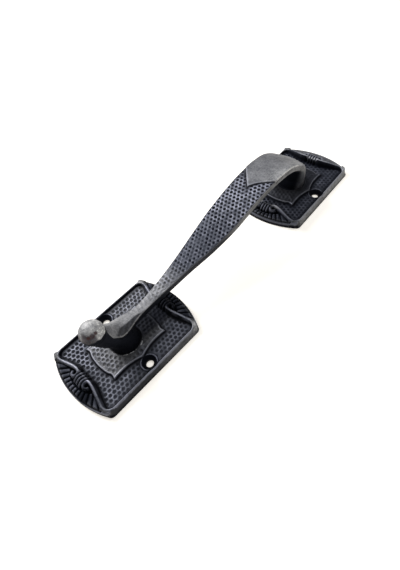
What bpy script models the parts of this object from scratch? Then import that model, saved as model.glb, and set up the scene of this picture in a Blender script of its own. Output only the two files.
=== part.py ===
"""Cast door pull handle in metres, +Z away from the door, +Y up the door.

Two like back plates, the grip casting whose posts stand on them, and one
flat-head screw behind each plate. The origin lies under the middle of the
pull, in the plane of the plates' backs.
"""

import math

import bmesh
import bpy
import numpy as np
from mathutils import Matrix

# Driving sizes, in metres
POST_SPACING = 0.1670          # between the two posts' centres
LOWER_PLATE_TURN = -0.8        # degrees that each plate has slewed about its post
UPPER_PLATE_TURN = 2.1

PLATE_WIDTH = 0.0560
PLATE_SIDE = 0.0670            # straight long side, from corner to corner
PLATE_ARC_RISE = 0.0076        # how far each arched end stands beyond the corners
PLATE_THICKNESS = 0.0050
PLATE_DRAFT = 0.0011           # the side walls lean in by this much
ARC_DRAFT_SHARE = 0.35         # the arched ends lean less
PLATE_CORNER = 0.0030          # corner radius

RIM_WIDTH = 0.0013             # flat top of the rim along the long sides
FIELD_DEPTH = 0.0020           # how deep the dimpled field lies below the rim
FIELD_WALL_SLOPE = 0.0004
FIELD_CORNER = 0.0030

RIDGE_HALF_WIDTH = 0.0010      # the curled ridge between field and shell fan
RIDGE_CORNER_WIDENING = 0.0005  # added to that near the plate's corners
RIDGE_CORE = 0.0004            # half width of the web left under it
RIDGE_RISE = 0.0028            # its crest above the rim, beside the curls
RIDGE_CORNER_RISE = 0.0001     # its crest above the rim, at the plate's corners
RIDGE_SET_BACK = 0.0037        # from the corner line to the ridge at its lowest
RIDGE_BULGE = 0.0032
SCROLL_X = 0.0057              # centre of each curl, from the plate's centre line
SCROLL_OUT = 0.0025            # centre of each curl, beyond the ridge's lowest point
SCROLL_RADIUS = 0.0016
BAND_COUNT = 3
BAND_PITCH = 0.0021
BAND_LENGTH = 0.0058
BAND_HALF_WIDTH = 0.0007

FLUTE_COUNT = 14
FLUTE_RISE = 0.0014            # crests of the flutes above the fan's floor
FLUTE_VALLEY = 0.40            # share of that height left between two flutes
FLUTE_START = 0.0155           # from the point the flutes spread from
FLUTE_NOSE = 0.0014            # length of their rounded inner ends
FAN_CENTRE_BACK = 0.0128       # from the corner line to that point
FAN_DEPTH = 0.0018
FAN_EDGE = 0.0055              # solid corner left beside each fan

BOSS_CORNER_X = 0.0138         # the flared corner
BOSS_CORNER_Y = 0.0195
BOSS_CUSP_X = 0.0160           # the point towards each screw hole
BOSS_WAIST_X = 0.0121          # pulls the long sides in
BOSS_WAIST_Y = 0.0086
BOSS_END_BULGE = 0.0013
BOSS_BORDER = 0.0010
BOSS_HEIGHT = 0.0016           # border above the field
BOSS_DOME = 0.0008             # middle above the border

SCREW_HOLE_INSET = 0.0072      # hole centre from the plate's long edge
SCREW_HOLE_RADIUS = 0.0025
SINK_RADIUS = 0.0046
SINK_LIP_WIDTH = 0.0006
SINK_LIP_HEIGHT = 0.0006
SINK_FLAT = 0.0006             # straight part of the hole, under the countersink

POST_RADIUS = 0.0096
SEAT_DEPTH = 0.0006            # the post's foot stands in a shallow seat
FIT_GAP = 0.0003

BOLT_RADIUS = 0.0030
BOLT_HEAD_RADIUS = 0.0060
BOLT_HEAD_HEIGHT = 0.0030
BOLT_REACH = 0.0078            # how far the bolt goes into its post
BOLT_SLOT_WIDTH = 0.0014
BOLT_SLOT_DEPTH = 0.0014

GRIP_WIDTH = 0.0248            # across the hooked upper end
WAIST_WIDTH = 0.0062           # across the narrowest place
GRIP_HEIGHT = 0.0372           # top of the hook above the plates' backs
WAIST_HEIGHT = 0.0182
WAIST_FROM_POST = 0.0180       # narrowest place, from the lower post
HOOK_FROM_POST = 0.0330        # top of the hook, from the upper post
STRAP_THICKNESS = 0.0055
STRAP_SIDE = 0.0034            # flat height of the strap's side face
STRAP_CROWN = 0.0003           # the strap's middle above its edges
POST_CROWN = 0.0024            # the same where the hook turns down into the upper post
CAP_RISE = 0.0005              # smooth cap above the dimpled strap
CAP_TIP_FROM_POST = 0.0500     # point of the cap's edge, from the upper post
CAP_EDGE_SWEEP = 0.0126        # how far that edge runs back at the strap's sides

LEAF_TIP = 0.0040              # the leaf at the strap's lower end, beyond the lower post's centre
LEAF_RISE = 0.0088             # its tip above the waist
LEAF_WIDTH = 0.0130
LEAF_THICKNESS = 0.0075
LEAF_CROWN = 0.0050

STALK_LEAN = 0.0120            # ball centre beyond the lower post's centre
BALL_PROUD = 0.0013            # top of the ball above the top of the hook
BALL_RADIUS = 0.0069
NECK_RADIUS = 0.0055

# Worked out from the driving sizes
HALF_WIDTH = PLATE_WIDTH / 2
HALF_SIDE = PLATE_SIDE / 2
ARC_RADIUS = (HALF_WIDTH ** 2 + PLATE_ARC_RISE ** 2) / (2 * PLATE_ARC_RISE)
ARC_CENTRE = HALF_SIDE + PLATE_ARC_RISE - ARC_RADIUS
FIELD_Z = PLATE_THICKNESS - FIELD_DEPTH
FIELD_HALF_WIDTH = HALF_WIDTH - PLATE_DRAFT - RIM_WIDTH
RIDGE_MIDDLE = HALF_SIDE - RIDGE_SET_BACK
FAN_Z = PLATE_THICKNESS - FAN_DEPTH
FAN_HALF_WIDTH = HALF_WIDTH - FAN_EDGE
ROOT_Z = FAN_Z - 0.0005        # raised forms start a little inside the plate
BOSS_Z = FIELD_Z + BOSS_HEIGHT
DOME_Z = BOSS_Z + BOSS_DOME
SEAT_Z = DOME_Z - SEAT_DEPTH
FOOT_Z = SEAT_Z + FIT_GAP
SEAT_RADIUS = POST_RADIUS + FIT_GAP
BORE_RADIUS = BOLT_RADIUS + FIT_GAP
BOLT_TOP = FOOT_Z + BOLT_REACH
BALL_HEIGHT = GRIP_HEIGHT + BALL_PROUD - BALL_RADIUS
LOWER_Y = -POST_SPACING / 2
UPPER_Y = POST_SPACING / 2

TINY = 0.00001                 # merge distance
CUT_MARGIN = 0.0050            # how far cutters run past what they cut

IRON = ("blackened_iron", (0.030, 0.032, 0.040), 0.85, 0.42)
STEEL = ("screw_steel", (0.200, 0.195, 0.190), 0.95, 0.40)


def clear_scene():
    for old in list(bpy.data.objects):
        bpy.data.objects.remove(old, do_unlink=True)


def new_collection(name):
    collection = bpy.data.collections.new(name)
    bpy.context.scene.collection.children.link(collection)
    return collection


def new_material(name, colour, metallic, roughness):
    material = bpy.data.materials.new(name)
    material.use_nodes = True
    shader = material.node_tree.nodes["Principled BSDF"]
    shader.inputs["Base Color"].default_value = (*colour, 1.0)
    shader.inputs["Metallic"].default_value = metallic
    shader.inputs["Roughness"].default_value = roughness
    return material


def new_object(name, mesh, collection):
    part = bpy.data.objects.new(name, mesh)
    collection.objects.link(part)
    return part


def from_bmesh(name, shape, collection):
    """Close up a bmesh: weld it, turn its faces out and put it in an object."""
    bmesh.ops.remove_doubles(shape, verts=shape.verts, dist=TINY)
    bmesh.ops.recalc_face_normals(shape, faces=shape.faces)
    mesh = bpy.data.meshes.new(name)
    shape.to_mesh(mesh)
    shape.free()
    return new_object(name, mesh, collection)


def as_guide(part):
    part.hide_render = True
    part.display_type = "WIRE"
    return part


def boolean(part, tool, operation):
    change = part.modifiers.new(tool.name, "BOOLEAN")
    change.solver = "EXACT"
    change.operation = operation
    change.object = tool


def cut(part, tool):
    boolean(part, as_guide(tool), "DIFFERENCE")


def add(part, tool):
    boolean(part, as_guide(tool), "UNION")


def weld(part):
    close = part.modifiers.new("weld", "WELD")
    close.merge_threshold = TINY


def evaluated_mesh(part):
    bpy.context.view_layer.update()
    graph = bpy.context.evaluated_depsgraph_get()
    return bpy.data.meshes.new_from_object(part.evaluated_get(graph))


def smooth_step(reach):
    """Rises from 0 to 1 with level ends."""
    reach = min(max(reach, 0.0), 1.0)
    return reach * reach * (3 - 2 * reach)


def loft(name, rings, collection):
    """Solid through rings of points that all have the same count."""
    shape = bmesh.new()
    loops = [[shape.verts.new(point) for point in ring] for ring in rings]
    count = len(rings[0])
    for near, far in zip(loops, loops[1:]):
        for i in range(count):
            j = (i + 1) % count
            shape.faces.new((near[i], near[j], far[j], far[i]))
    shape.faces.new(loops[0])
    shape.faces.new(loops[-1])
    bmesh.ops.connect_verts_nonplanar(shape, angle_limit=math.radians(0.2), faces=shape.faces)
    return from_bmesh(name, shape, collection)


def offset_outline(outline, distance):
    """Move a flat closed outline outwards by distance."""
    points = np.array(outline)
    along = np.roll(points, -1, axis=0) - np.roll(points, 1, axis=0)
    along /= np.linalg.norm(along, axis=1)[:, None]
    turn = points * np.roll(points, -1, axis=0)[:, ::-1]
    side = 1.0 if (turn[:, 0] - turn[:, 1]).sum() > 0 else -1.0
    return points + side * distance * np.column_stack([along[:, 1], -along[:, 0]])


def at_height(outline, height):
    return [(x, y, height) for x, y in outline]


def drafted_solid(name, layers, collection):
    """Solid from flat outlines stacked at their heights."""
    return loft(name, [at_height(outline, height) for outline, height in layers], collection)


def turned(name, profile, segments, collection):
    """Turn a profile of (radius, height), given from top to bottom, about Z."""
    mesh = bpy.data.meshes.new(name)
    points = [(radius, 0.0, height) for radius, height in profile]
    mesh.from_pydata(points, [(i, i + 1) for i in range(len(points) - 1)], [])
    raw = new_object(name + "_profile", mesh, collection)
    screw = raw.modifiers.new("turn", "SCREW")
    screw.axis = "Z"
    screw.steps = segments
    screw.render_steps = segments
    screw.use_merge_vertices = True
    screw.merge_threshold = TINY
    shape = bmesh.new()
    shape.from_mesh(evaluated_mesh(raw))
    bpy.data.objects.remove(raw, do_unlink=True)
    bmesh.ops.dissolve_degenerate(shape, edges=shape.edges, dist=TINY)
    return from_bmesh(name, shape, collection)


def place(part, x=0.0, y=0.0, z=0.0, turn=0.0):
    part.location = (x, y, z)
    part.rotation_euler = (0.0, 0.0, math.radians(turn))
    return part


def plate_outline(inset, corner_steps=3, arc_steps=9):
    """Straight sides, arched ends and small round corners, moved in by inset."""
    corner = PLATE_CORNER
    arc = ARC_RADIUS - inset * ARC_DRAFT_SHARE
    x_corner = HALF_WIDTH - inset - corner
    y_corner = ARC_CENTRE + math.sqrt((arc - corner) ** 2 - x_corner ** 2)
    tilt = math.atan2(y_corner - ARC_CENTRE, x_corner)
    quarter = []
    for i in range(corner_steps + 1):
        angle = tilt * i / corner_steps
        quarter.append((x_corner + corner * math.cos(angle), y_corner + corner * math.sin(angle)))
    for i in range(1, arc_steps + 1):
        angle = tilt + (math.pi / 2 - tilt) * i / arc_steps
        quarter.append((arc * math.cos(angle), ARC_CENTRE + arc * math.sin(angle)))
    end = quarter + [(-x, y) for x, y in reversed(quarter[:-1])]
    return end + [(-x, -y) for x, y in end]


def ridge_reach(x):
    """0 beside the curls, 1 at the plate's corners."""
    return smooth_step((abs(x) - SCROLL_X) / (FIELD_HALF_WIDTH - 2 * RIDGE_HALF_WIDTH - SCROLL_X))


def ridge_line(x):
    """Distance of the curled ridge from the plate's middle, at x."""
    return RIDGE_MIDDLE + RIDGE_BULGE * ridge_reach(x)


def ridge_crest(x):
    """Height of the curled ridge, at x."""
    return PLATE_THICKNESS + RIDGE_RISE + (RIDGE_CORNER_RISE - RIDGE_RISE) * ridge_reach(x)


def field_outline(end_steps=12, corner_steps=3):
    """The sunk field: straight sides, rounded corners and ends along the ridge."""
    corner_x = FIELD_HALF_WIDTH - FIELD_CORNER
    edge = ridge_line(HALF_WIDTH) - RIDGE_CORE
    half = []
    for i in range(corner_steps):
        angle = math.pi / 2 * i / corner_steps
        half.append((corner_x + FIELD_CORNER * math.cos(angle), edge - FIELD_CORNER * (1 - math.sin(angle))))
    for i in range(end_steps + 1):
        x = corner_x * (1 - 2 * i / end_steps)
        half.append((x, ridge_line(x) - RIDGE_CORE))
    for i in reversed(range(corner_steps)):
        angle = math.pi / 2 * i / corner_steps
        half.append((-corner_x - FIELD_CORNER * math.cos(angle), edge - FIELD_CORNER * (1 - math.sin(angle))))
    return half + [(-x, -y) for x, y in half]


def fan_outline(steps=10):
    """One shell fan: along the ridge and out past the arched end."""
    inner = []
    for i in range(steps + 1):
        x = FAN_HALF_WIDTH * (2 * i / steps - 1)
        inner.append((x, ridge_line(x) + RIDGE_CORE))
    outside = HALF_SIDE + PLATE_ARC_RISE + CUT_MARGIN
    return inner + [(FAN_HALF_WIDTH, outside), (-FAN_HALF_WIDTH, outside)]


def fan_flutes(collection, flute_steps=3):
    """The raised flutes of one fan, as radial slices that turn about the point they spread from."""
    spread = math.atan2(FAN_HALF_WIDTH, FAN_CENTRE_BACK) + math.radians(2.0)
    far = math.hypot(HALF_WIDTH, FAN_CENTRE_BACK + PLATE_ARC_RISE) + CUT_MARGIN
    steps = FLUTE_COUNT * flute_steps
    rings = []
    for i in range(steps + 1):
        angle = spread * (2 * i / steps - 1)
        swell = math.sin(math.pi * (i % flute_steps) / flute_steps)
        rise = FLUTE_RISE * (FLUTE_VALLEY + (1 - FLUTE_VALLEY) * math.sqrt(swell))
        slice_points = ((FLUTE_START, ROOT_Z), (FLUTE_START, FAN_Z + rise * 0.45),
                        (FLUTE_START + FLUTE_NOSE, FAN_Z + rise), (far, FAN_Z + rise), (far, ROOT_Z))
        rings.append([(reach * math.sin(angle), HALF_SIDE - FAN_CENTRE_BACK + reach * math.cos(angle), z)
                      for reach, z in slice_points])
    return loft("flutes", rings, collection)


def fan_cutter(collection):
    outline = fan_outline()
    pocket = drafted_solid(
        "fan_pocket", [(outline, FAN_Z), (outline, PLATE_THICKNESS + CUT_MARGIN)], collection)
    cut(pocket, fan_flutes(collection))
    return evaluated_mesh(as_guide(pocket))


def field_cutter(collection):
    outline = field_outline()
    top = PLATE_THICKNESS
    return drafted_solid(
        "field_pocket",
        [(offset_outline(outline, -FIELD_WALL_SLOPE), FIELD_Z),
         (offset_outline(outline, -FIELD_WALL_SLOPE * 0.15), top - FIELD_DEPTH * 0.15),
         (offset_outline(outline, FIELD_WALL_SLOPE * 0.3), top),
         (offset_outline(outline, FIELD_WALL_SLOPE * 0.3), top + CUT_MARGIN)],
        collection)


def rib(name, rows, collection):
    """Wall with a rounded crest, along rows of x, y, height of the crest and half width."""
    section = ((-0.92, 1.0), (-0.62, 0.3), (0.0, 0.0), (0.62, 0.3), (0.92, 1.0))
    rows = np.array(rows)
    along = np.gradient(rows[:, :2], axis=0)
    along /= np.linalg.norm(along, axis=1)[:, None]
    rings = []
    for (x, y, crest, half), (dx, dy) in zip(rows, along):
        ring = [(x - dy * half, y + dx * half, ROOT_Z)]
        for across, down in section:
            ring.append((x + dy * half * across, y - dx * half * across, crest - down * half))
        ring.append((x + dy * half, y - dx * half, ROOT_Z))
        rings.append(ring)
    return loft(name, rings, collection)


def ridge(side, collection, line_steps=8, curl_steps=10):
    """Half of one ridge: from the plate's corner, along the field, into its curl."""
    start = FIELD_HALF_WIDTH
    rows = []
    for i in range(line_steps):
        x = start + (SCROLL_X - start) * i / line_steps
        half = RIDGE_HALF_WIDTH + RIDGE_CORNER_WIDENING * ridge_reach(x)
        rows.append((side * x, ridge_line(x), ridge_crest(x), half))
    for i in range(curl_steps + 1):
        share = i / curl_steps
        angle = -math.pi / 2 - 1.45 * math.pi * share
        radius = SCROLL_RADIUS + (SCROLL_OUT - SCROLL_RADIUS) * (1 - share) ** 2.5
        x = SCROLL_X + radius * math.cos(angle)
        y = RIDGE_MIDDLE + SCROLL_OUT + radius * math.sin(angle)
        crest = ridge_crest(0.0) - RIDGE_HALF_WIDTH * share
        rows.append((side * x, y, crest, RIDGE_HALF_WIDTH * (1 - 0.25 * share)))
    return rib("ridge", rows, collection)


def tie_band(number, collection, steps=6):
    """One of the short arched bars between the two curls."""
    x = BAND_PITCH * (number - (BAND_COUNT - 1) / 2)
    rows = []
    for i in range(steps + 1):
        share = i / steps
        arch = math.sin(math.pi * share)
        y = RIDGE_MIDDLE - BAND_HALF_WIDTH + BAND_LENGTH * share
        crest = PLATE_THICKNESS + RIDGE_RISE * (0.45 + 0.55 * arch)
        rows.append((x, y, crest, BAND_HALF_WIDTH * (0.8 + 0.2 * arch)))
    return rib("band", rows, collection)


def bezier(start, pull, end, steps):
    for i in range(steps):
        t = i / steps
        yield tuple((1 - t) ** 2 * a + 2 * t * (1 - t) * b + t * t * c for a, b, c in zip(start, pull, end))


def boss_outline():
    """Four flared corners, long sides of two hollow arcs that meet in a point, bulging ends."""
    cusp = (BOSS_CUSP_X, 0.0)
    waist = (BOSS_WAIST_X, BOSS_WAIST_Y)
    corner = (BOSS_CORNER_X, BOSS_CORNER_Y)
    quarter = list(bezier(cusp, waist, corner, 6))
    end_steps = 5
    for i in range(end_steps + 1):
        x = BOSS_CORNER_X * (1 - i / end_steps)
        quarter.append((x, BOSS_CORNER_Y + BOSS_END_BULGE * smooth_step(1 - x / BOSS_CORNER_X)))
    half = quarter + [(-x, y) for x, y in reversed(quarter[1:-1])] + [(-BOSS_CUSP_X, 0.0)]
    return half + [(-x, -y) for x, y in half[1:-1]]


def shrink(outline, factor):
    return [(x * factor, y * factor) for x, y in outline]


def boss_solid(collection):
    """Raised boss with a thin border round a pillowed top."""
    outline = boss_outline()
    border = BOSS_BORDER
    return drafted_solid(
        "boss",
        [(offset_outline(outline, border * 0.4), FIELD_Z - SEAT_DEPTH),
         (offset_outline(outline, -border * 0.1), BOSS_Z - border * 0.2),
         (offset_outline(outline, -border * 0.4), BOSS_Z),
         (shrink(outline, 0.91), BOSS_Z - border * 0.15),
         (shrink(outline, 0.78), BOSS_Z + BOSS_DOME * 0.5),
         (shrink(outline, 0.60), DOME_Z)],
        collection)


def sink_lip(collection):
    radius = SINK_RADIUS + SINK_LIP_WIDTH
    top = FIELD_Z + SINK_LIP_HEIGHT
    root = FIELD_Z - SINK_LIP_HEIGHT
    profile = [(0.0, top), (radius - SINK_LIP_WIDTH * 0.3, top), (radius, FIELD_Z), (radius, root), (0.0, root)]
    return turned("sink_lip", profile, 28, collection)


def sink_cutter(collection):
    """Countersunk screw hole, open to the front and the back."""
    top = PLATE_THICKNESS + CUT_MARGIN
    profile = [(0.0, top), (SINK_RADIUS, top), (SINK_RADIUS, FIELD_Z), (SCREW_HOLE_RADIUS, SINK_FLAT),
               (SCREW_HOLE_RADIUS, -CUT_MARGIN), (0.0, -CUT_MARGIN)]
    return turned("sink", profile, 28, collection)


def post_seat_cutter(collection):
    """Seat for the post's foot, bolt hole, and the bolt head's countersink at the back."""
    top = DOME_Z + CUT_MARGIN
    head_top = BOLT_HEAD_HEIGHT + FIT_GAP
    mouth = BOLT_HEAD_RADIUS + FIT_GAP
    profile = [(0.0, top), (SEAT_RADIUS, top), (SEAT_RADIUS, SEAT_Z), (BORE_RADIUS, SEAT_Z),
               (BORE_RADIUS, head_top), (mouth, 0.0), (mouth, -CUT_MARGIN), (0.0, -CUT_MARGIN)]
    return turned("post_seat", profile, 32, collection)


def plate_pattern(collection):
    """One back plate about its own post, with every cut and raised form."""
    height = PLATE_THICKNESS
    pattern = drafted_solid(
        "plate_pattern",
        [(plate_outline(0.0), 0.0),
         (plate_outline(PLATE_DRAFT * 0.8), height - PLATE_DRAFT * 0.4),
         (plate_outline(PLATE_DRAFT), height - PLATE_DRAFT * 0.15),
         (plate_outline(PLATE_DRAFT * 1.3), height)],
        collection)
    cut(pattern, field_cutter(collection))
    fan = fan_cutter(collection)
    for turn in (0.0, 180.0):
        cut(pattern, place(new_object("fan", fan, collection), turn=turn))
    weld(pattern)
    add(pattern, boss_solid(collection))
    for turn in (0.0, 180.0):
        for side in (-1, 1):
            add(pattern, place(ridge(side, collection), turn=turn))
        for number in range(BAND_COUNT):
            add(pattern, place(tie_band(number, collection), turn=turn))
    for side in (-1, 1):
        hole_x = side * (HALF_WIDTH - SCREW_HOLE_INSET)
        add(pattern, place(sink_lip(collection), x=hole_x, turn=5.0))
        cut(pattern, place(sink_cutter(collection), x=hole_x))
    cut(pattern, post_seat_cutter(collection))
    return as_guide(pattern)


def smooth_sections(stations, steps):
    """Catmull-Rom curve through rows of numbers, with steps rows for each span."""
    rows = np.array(stations)
    padded = np.vstack([2 * rows[0] - rows[1], rows, 2 * rows[-1] - rows[-2]])
    out = []
    for a, b, c, d in zip(padded, padded[1:], padded[2:], padded[3:]):
        for i in range(steps):
            t = i / steps
            out.append(0.5 * (2 * b + (c - a) * t + (2 * a - 5 * b + 4 * c - d) * t ** 2
                              + (3 * b - a - 3 * c + d) * t ** 3))
    out.append(rows[-1])
    return np.array(out)


# From the leaf's tip to the waist: share of the way, the rise, the widening, the thickening and the crown
LEAF_SHAPE = ((0.00, 1.00, 0.62, 1.00, 1.00), (0.11, 0.74, 0.82, 0.75, 1.00), (0.25, 0.43, 1.00, 0.45, 0.79),
              (0.41, 0.20, 0.74, 0.25, 0.32), (0.66, 0.06, 0.24, 0.05, 0.06))

# From the waist to the top of the hook: share of the way, the rise and the widening
STRAP_SHAPE = ((0.00, 0.00, 0.000), (0.14, 0.10, 0.120), (0.30, 0.25, 0.350), (0.46, 0.41, 0.670),
               (0.61, 0.61, 0.885), (0.75, 0.82, 0.945), (0.88, 0.96, 0.980), (1.00, 1.00, 1.000))

# From there down to the upper post's foot: share of the way, the drop, the narrowing, the thickening,
# the crown, and how round the section is
HOOK_SHAPE = ((0.270, 0.031, 0.00, 0.00, 0.05, 0.00), (0.458, 0.112, 0.00, 0.00, 0.14, 0.05),
              (0.638, 0.237, 0.09, 0.08, 0.33, 0.15), (0.793, 0.389, 0.22, 0.36, 0.62, 0.45),
              (0.911, 0.607, 0.53, 0.64, 0.90, 0.80), (0.979, 0.835, 0.86, 0.93, 1.00, 1.00),
              (1.000, 1.000, 1.00, 1.00, 1.00, 1.00))


def between(start, end, share):
    return start + (end - start) * share


def strap_stations():
    """Rows of y, top z, width, thickness, crown and roundness, from the leaf to under the upper post's foot."""
    waist_y = LOWER_Y + WAIST_FROM_POST
    hook_y = UPPER_Y - HOOK_FROM_POST
    post = 2 * POST_RADIUS
    rows = []
    for way, rise, widening, thickening, crown in LEAF_SHAPE:
        rows.append((between(LOWER_Y - LEAF_TIP, waist_y, way), WAIST_HEIGHT + LEAF_RISE * rise,
                     between(WAIST_WIDTH, LEAF_WIDTH, widening),
                     between(STRAP_THICKNESS, LEAF_THICKNESS, thickening),
                     between(STRAP_CROWN, LEAF_CROWN, crown), 0.0))
    for way, rise, widening in STRAP_SHAPE:
        rows.append((between(waist_y, hook_y, way), between(WAIST_HEIGHT, GRIP_HEIGHT, rise),
                     between(WAIST_WIDTH, GRIP_WIDTH, widening), STRAP_THICKNESS, STRAP_CROWN, 0.0))
    for way, drop, narrowing, thickening, crown, roundness in HOOK_SHAPE:
        rows.append((between(hook_y, UPPER_Y + POST_RADIUS, way), between(GRIP_HEIGHT, FOOT_Z, drop),
                     between(GRIP_WIDTH, post, narrowing), between(STRAP_THICKNESS, post, thickening),
                     between(STRAP_CROWN, POST_CROWN, crown), roundness))
    rows.append((UPPER_Y + POST_RADIUS, FOOT_Z - CUT_MARGIN, post, post, POST_CROWN, 1.0))
    return rows


def strap_section(width, thickness, crown, roundness, top_steps=8, belly_steps=12):
    """Flat or crowned top, straight sides and a rounded belly, melting into a round post."""
    half = width / 2
    points = []
    for i in range(top_steps + 1):
        across = 2 * i / top_steps - 1
        points.append((half * across, -crown * across * across))
    side_end = min(crown + STRAP_SIDE, thickness * 0.75)
    for i in range(belly_steps + 1):
        angle = math.pi * i / belly_steps
        flat = abs(math.cos(angle)) ** 0.6 * (1 if math.cos(angle) >= 0 else -1)
        points.append((half * flat * 0.97, -side_end - (thickness - side_end) * math.sin(angle) ** 0.8))
    round_points = []
    for across, depth in points:
        reach = math.hypot(across / half, (depth + thickness / 2) / (thickness / 2))
        round_points.append((across / reach, (depth + thickness / 2) / reach - thickness / 2))
    return [(a + (c - a) * roundness, b + (d - b) * roundness) for (a, b), (c, d) in zip(points, round_points)]


def section_rings(rows, shape):
    """Stand each row's section square to the line of the rows."""
    line = rows[:, :2]
    along = np.gradient(line, axis=0)
    along /= np.linalg.norm(along, axis=1)[:, None]
    rings = []
    for (y, z, width, thickness, crown, roundness), (dy, dz) in zip(rows, along):
        ring = shape(width, thickness, crown, min(max(roundness, 0.0), 1.0))
        rings.append([(across, y - dz * out, z + dy * out) for across, out in ring])
    return rings


def strap_solid(collection):
    rows = smooth_sections(strap_stations(), 2)
    return loft("grip", section_rings(rows, strap_section), collection)


def cap_slab(collection):
    """Thin skin over the hook, cut to an ogee point where the dimpled strap begins."""
    rows = smooth_sections(strap_stations(), 2)
    start = UPPER_Y - CAP_TIP_FROM_POST - CUT_MARGIN
    rows = rows[(rows[:, 0] > start) & (rows[:, 1] > GRIP_HEIGHT * 0.55)]

    def skin(width, thickness, crown, roundness, steps=7):
        whole = strap_section(width, thickness, crown, roundness, top_steps=steps)[:steps + 1]
        rise = CAP_RISE * (1 - 2.2 * roundness)
        top = [(across * 0.985, out + rise) for across, out in whole]
        return top + [(across, out - thickness * 0.4) for across, out in reversed(top)]

    slab = loft("cap", section_rings(rows, skin), collection)
    boolean(slab, as_guide(cap_plan(collection)), "INTERSECT")
    return slab


def cap_plan(collection, steps=12):
    """Plan of the cap: two hollow curves that meet in a point, open towards the post."""
    tip = UPPER_Y - CAP_TIP_FROM_POST
    half = GRIP_WIDTH / 2
    reach = half * 1.2
    right = []
    for i in range(1, steps + 1):
        across = reach * i / steps
        right.append((across, tip + CAP_EDGE_SWEEP * (across / half) ** 0.72))
    left = [(-x, y) for x, y in reversed(right)]
    back = UPPER_Y + POST_RADIUS + CUT_MARGIN
    outline = left + [(0.0, tip)] + right + [(reach, back), (-reach, back)]
    return drafted_solid("cap_plan", [(outline, 0.0), (outline, GRIP_HEIGHT + CUT_MARGIN)], collection)


def stalk_stations():
    """Rows of y, z and radius up the middle of the lower post to the ball."""
    lean = STALK_LEAN
    rise = BALL_HEIGHT - FOOT_Z
    return [
        (LOWER_Y, FOOT_Z - CUT_MARGIN, POST_RADIUS),
        (LOWER_Y, FOOT_Z, POST_RADIUS),
        (LOWER_Y - lean * 0.02, FOOT_Z + rise * 0.13, POST_RADIUS * 0.93),
        (LOWER_Y - lean * 0.14, FOOT_Z + rise * 0.28, POST_RADIUS * 0.83),
        (LOWER_Y - lean * 0.38, FOOT_Z + rise * 0.44, NECK_RADIUS * 1.22),
        (LOWER_Y - lean * 0.62, FOOT_Z + rise * 0.59, NECK_RADIUS * 1.06),
        (LOWER_Y - lean * 0.81, FOOT_Z + rise * 0.77, NECK_RADIUS),
        (LOWER_Y - lean * 0.97, FOOT_Z + rise * 0.96, NECK_RADIUS * 0.95)]


def stalk_solid(collection, segments=24):
    """Lower post: a round foot that narrows and leans out to the ball."""
    rows = smooth_sections(stalk_stations(), 2)
    along = np.gradient(rows[:, :2], axis=0)
    along /= np.linalg.norm(along, axis=1)[:, None]
    rings = []
    for (y, z, radius), (dy, dz) in zip(rows, along):
        ring = []
        for i in range(segments):
            angle = 2 * math.pi * i / segments
            out = radius * math.sin(angle)
            ring.append((radius * math.cos(angle), y + dz * out, z - dy * out))
        rings.append(ring)
    return loft("stalk", rings, collection)


def ball(collection):
    shape = bmesh.new()
    bmesh.ops.create_uvsphere(
        shape, u_segments=24, v_segments=14, radius=BALL_RADIUS,
        matrix=Matrix.Translation((0.0, LOWER_Y - STALK_LEAN, BALL_HEIGHT)))
    return from_bmesh("ball", shape, collection)


def foot_trim(collection):
    """Levels both posts' feet."""
    shape = bmesh.new()
    length = POST_SPACING + 4 * POST_RADIUS
    depth = 2 * CUT_MARGIN
    size = Matrix.Diagonal((PLATE_WIDTH, length, depth, 1.0))
    bmesh.ops.create_cube(shape, size=1.0, matrix=Matrix.Translation((0.0, 0.0, FOOT_Z - depth / 2)) @ size)
    return from_bmesh("foot_trim", shape, collection)


def bolt_bore(y, collection):
    top = BOLT_TOP + FIT_GAP
    profile = [(0.0, top), (BORE_RADIUS, top), (BORE_RADIUS, 0.0), (0.0, 0.0)]
    return place(turned("bolt_bore", profile, 24, collection), y=y)


def grip(parts, cutters, material):
    part = strap_solid(parts)
    add(part, cap_slab(cutters))
    weld(part)
    add(part, stalk_solid(cutters))
    add(part, ball(cutters))
    cut(part, foot_trim(cutters))
    for y in (LOWER_Y, UPPER_Y):
        cut(part, bolt_bore(y, cutters))
    part.data.materials.append(material)
    return part


def plate(name, mesh, y, turn, parts, material):
    part = place(new_object(name, mesh, parts), y=y, turn=turn)
    part.data.materials.clear()
    part.data.materials.append(material)
    return part


def plate_screw(name, y, parts, cutters, material):
    """Flat-head machine screw, its slotted head flush with the plate's back."""
    base = FIT_GAP
    profile = [(0.0, BOLT_TOP), (BOLT_RADIUS - FIT_GAP, BOLT_TOP), (BOLT_RADIUS, BOLT_TOP - FIT_GAP),
               (BOLT_RADIUS, base + BOLT_HEAD_HEIGHT), (BOLT_HEAD_RADIUS, base), (0.0, base)]
    part = place(turned(name, profile, 24, parts), y=y)
    shape = bmesh.new()
    size = Matrix.Diagonal((4 * BOLT_HEAD_RADIUS, BOLT_SLOT_WIDTH, 2 * BOLT_SLOT_DEPTH, 1.0))
    bmesh.ops.create_cube(shape, size=1.0, matrix=Matrix.Translation((0.0, y, base)) @ size)
    cut(part, from_bmesh(name + "_slot", shape, cutters))
    part.data.materials.append(material)
    return part


def soften(part, angle=40.0):
    """Shade the round faces smooth and keep the edges sharp."""
    part.data.shade_smooth()
    part.data.set_sharp_from_angle(angle=math.radians(angle))


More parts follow.
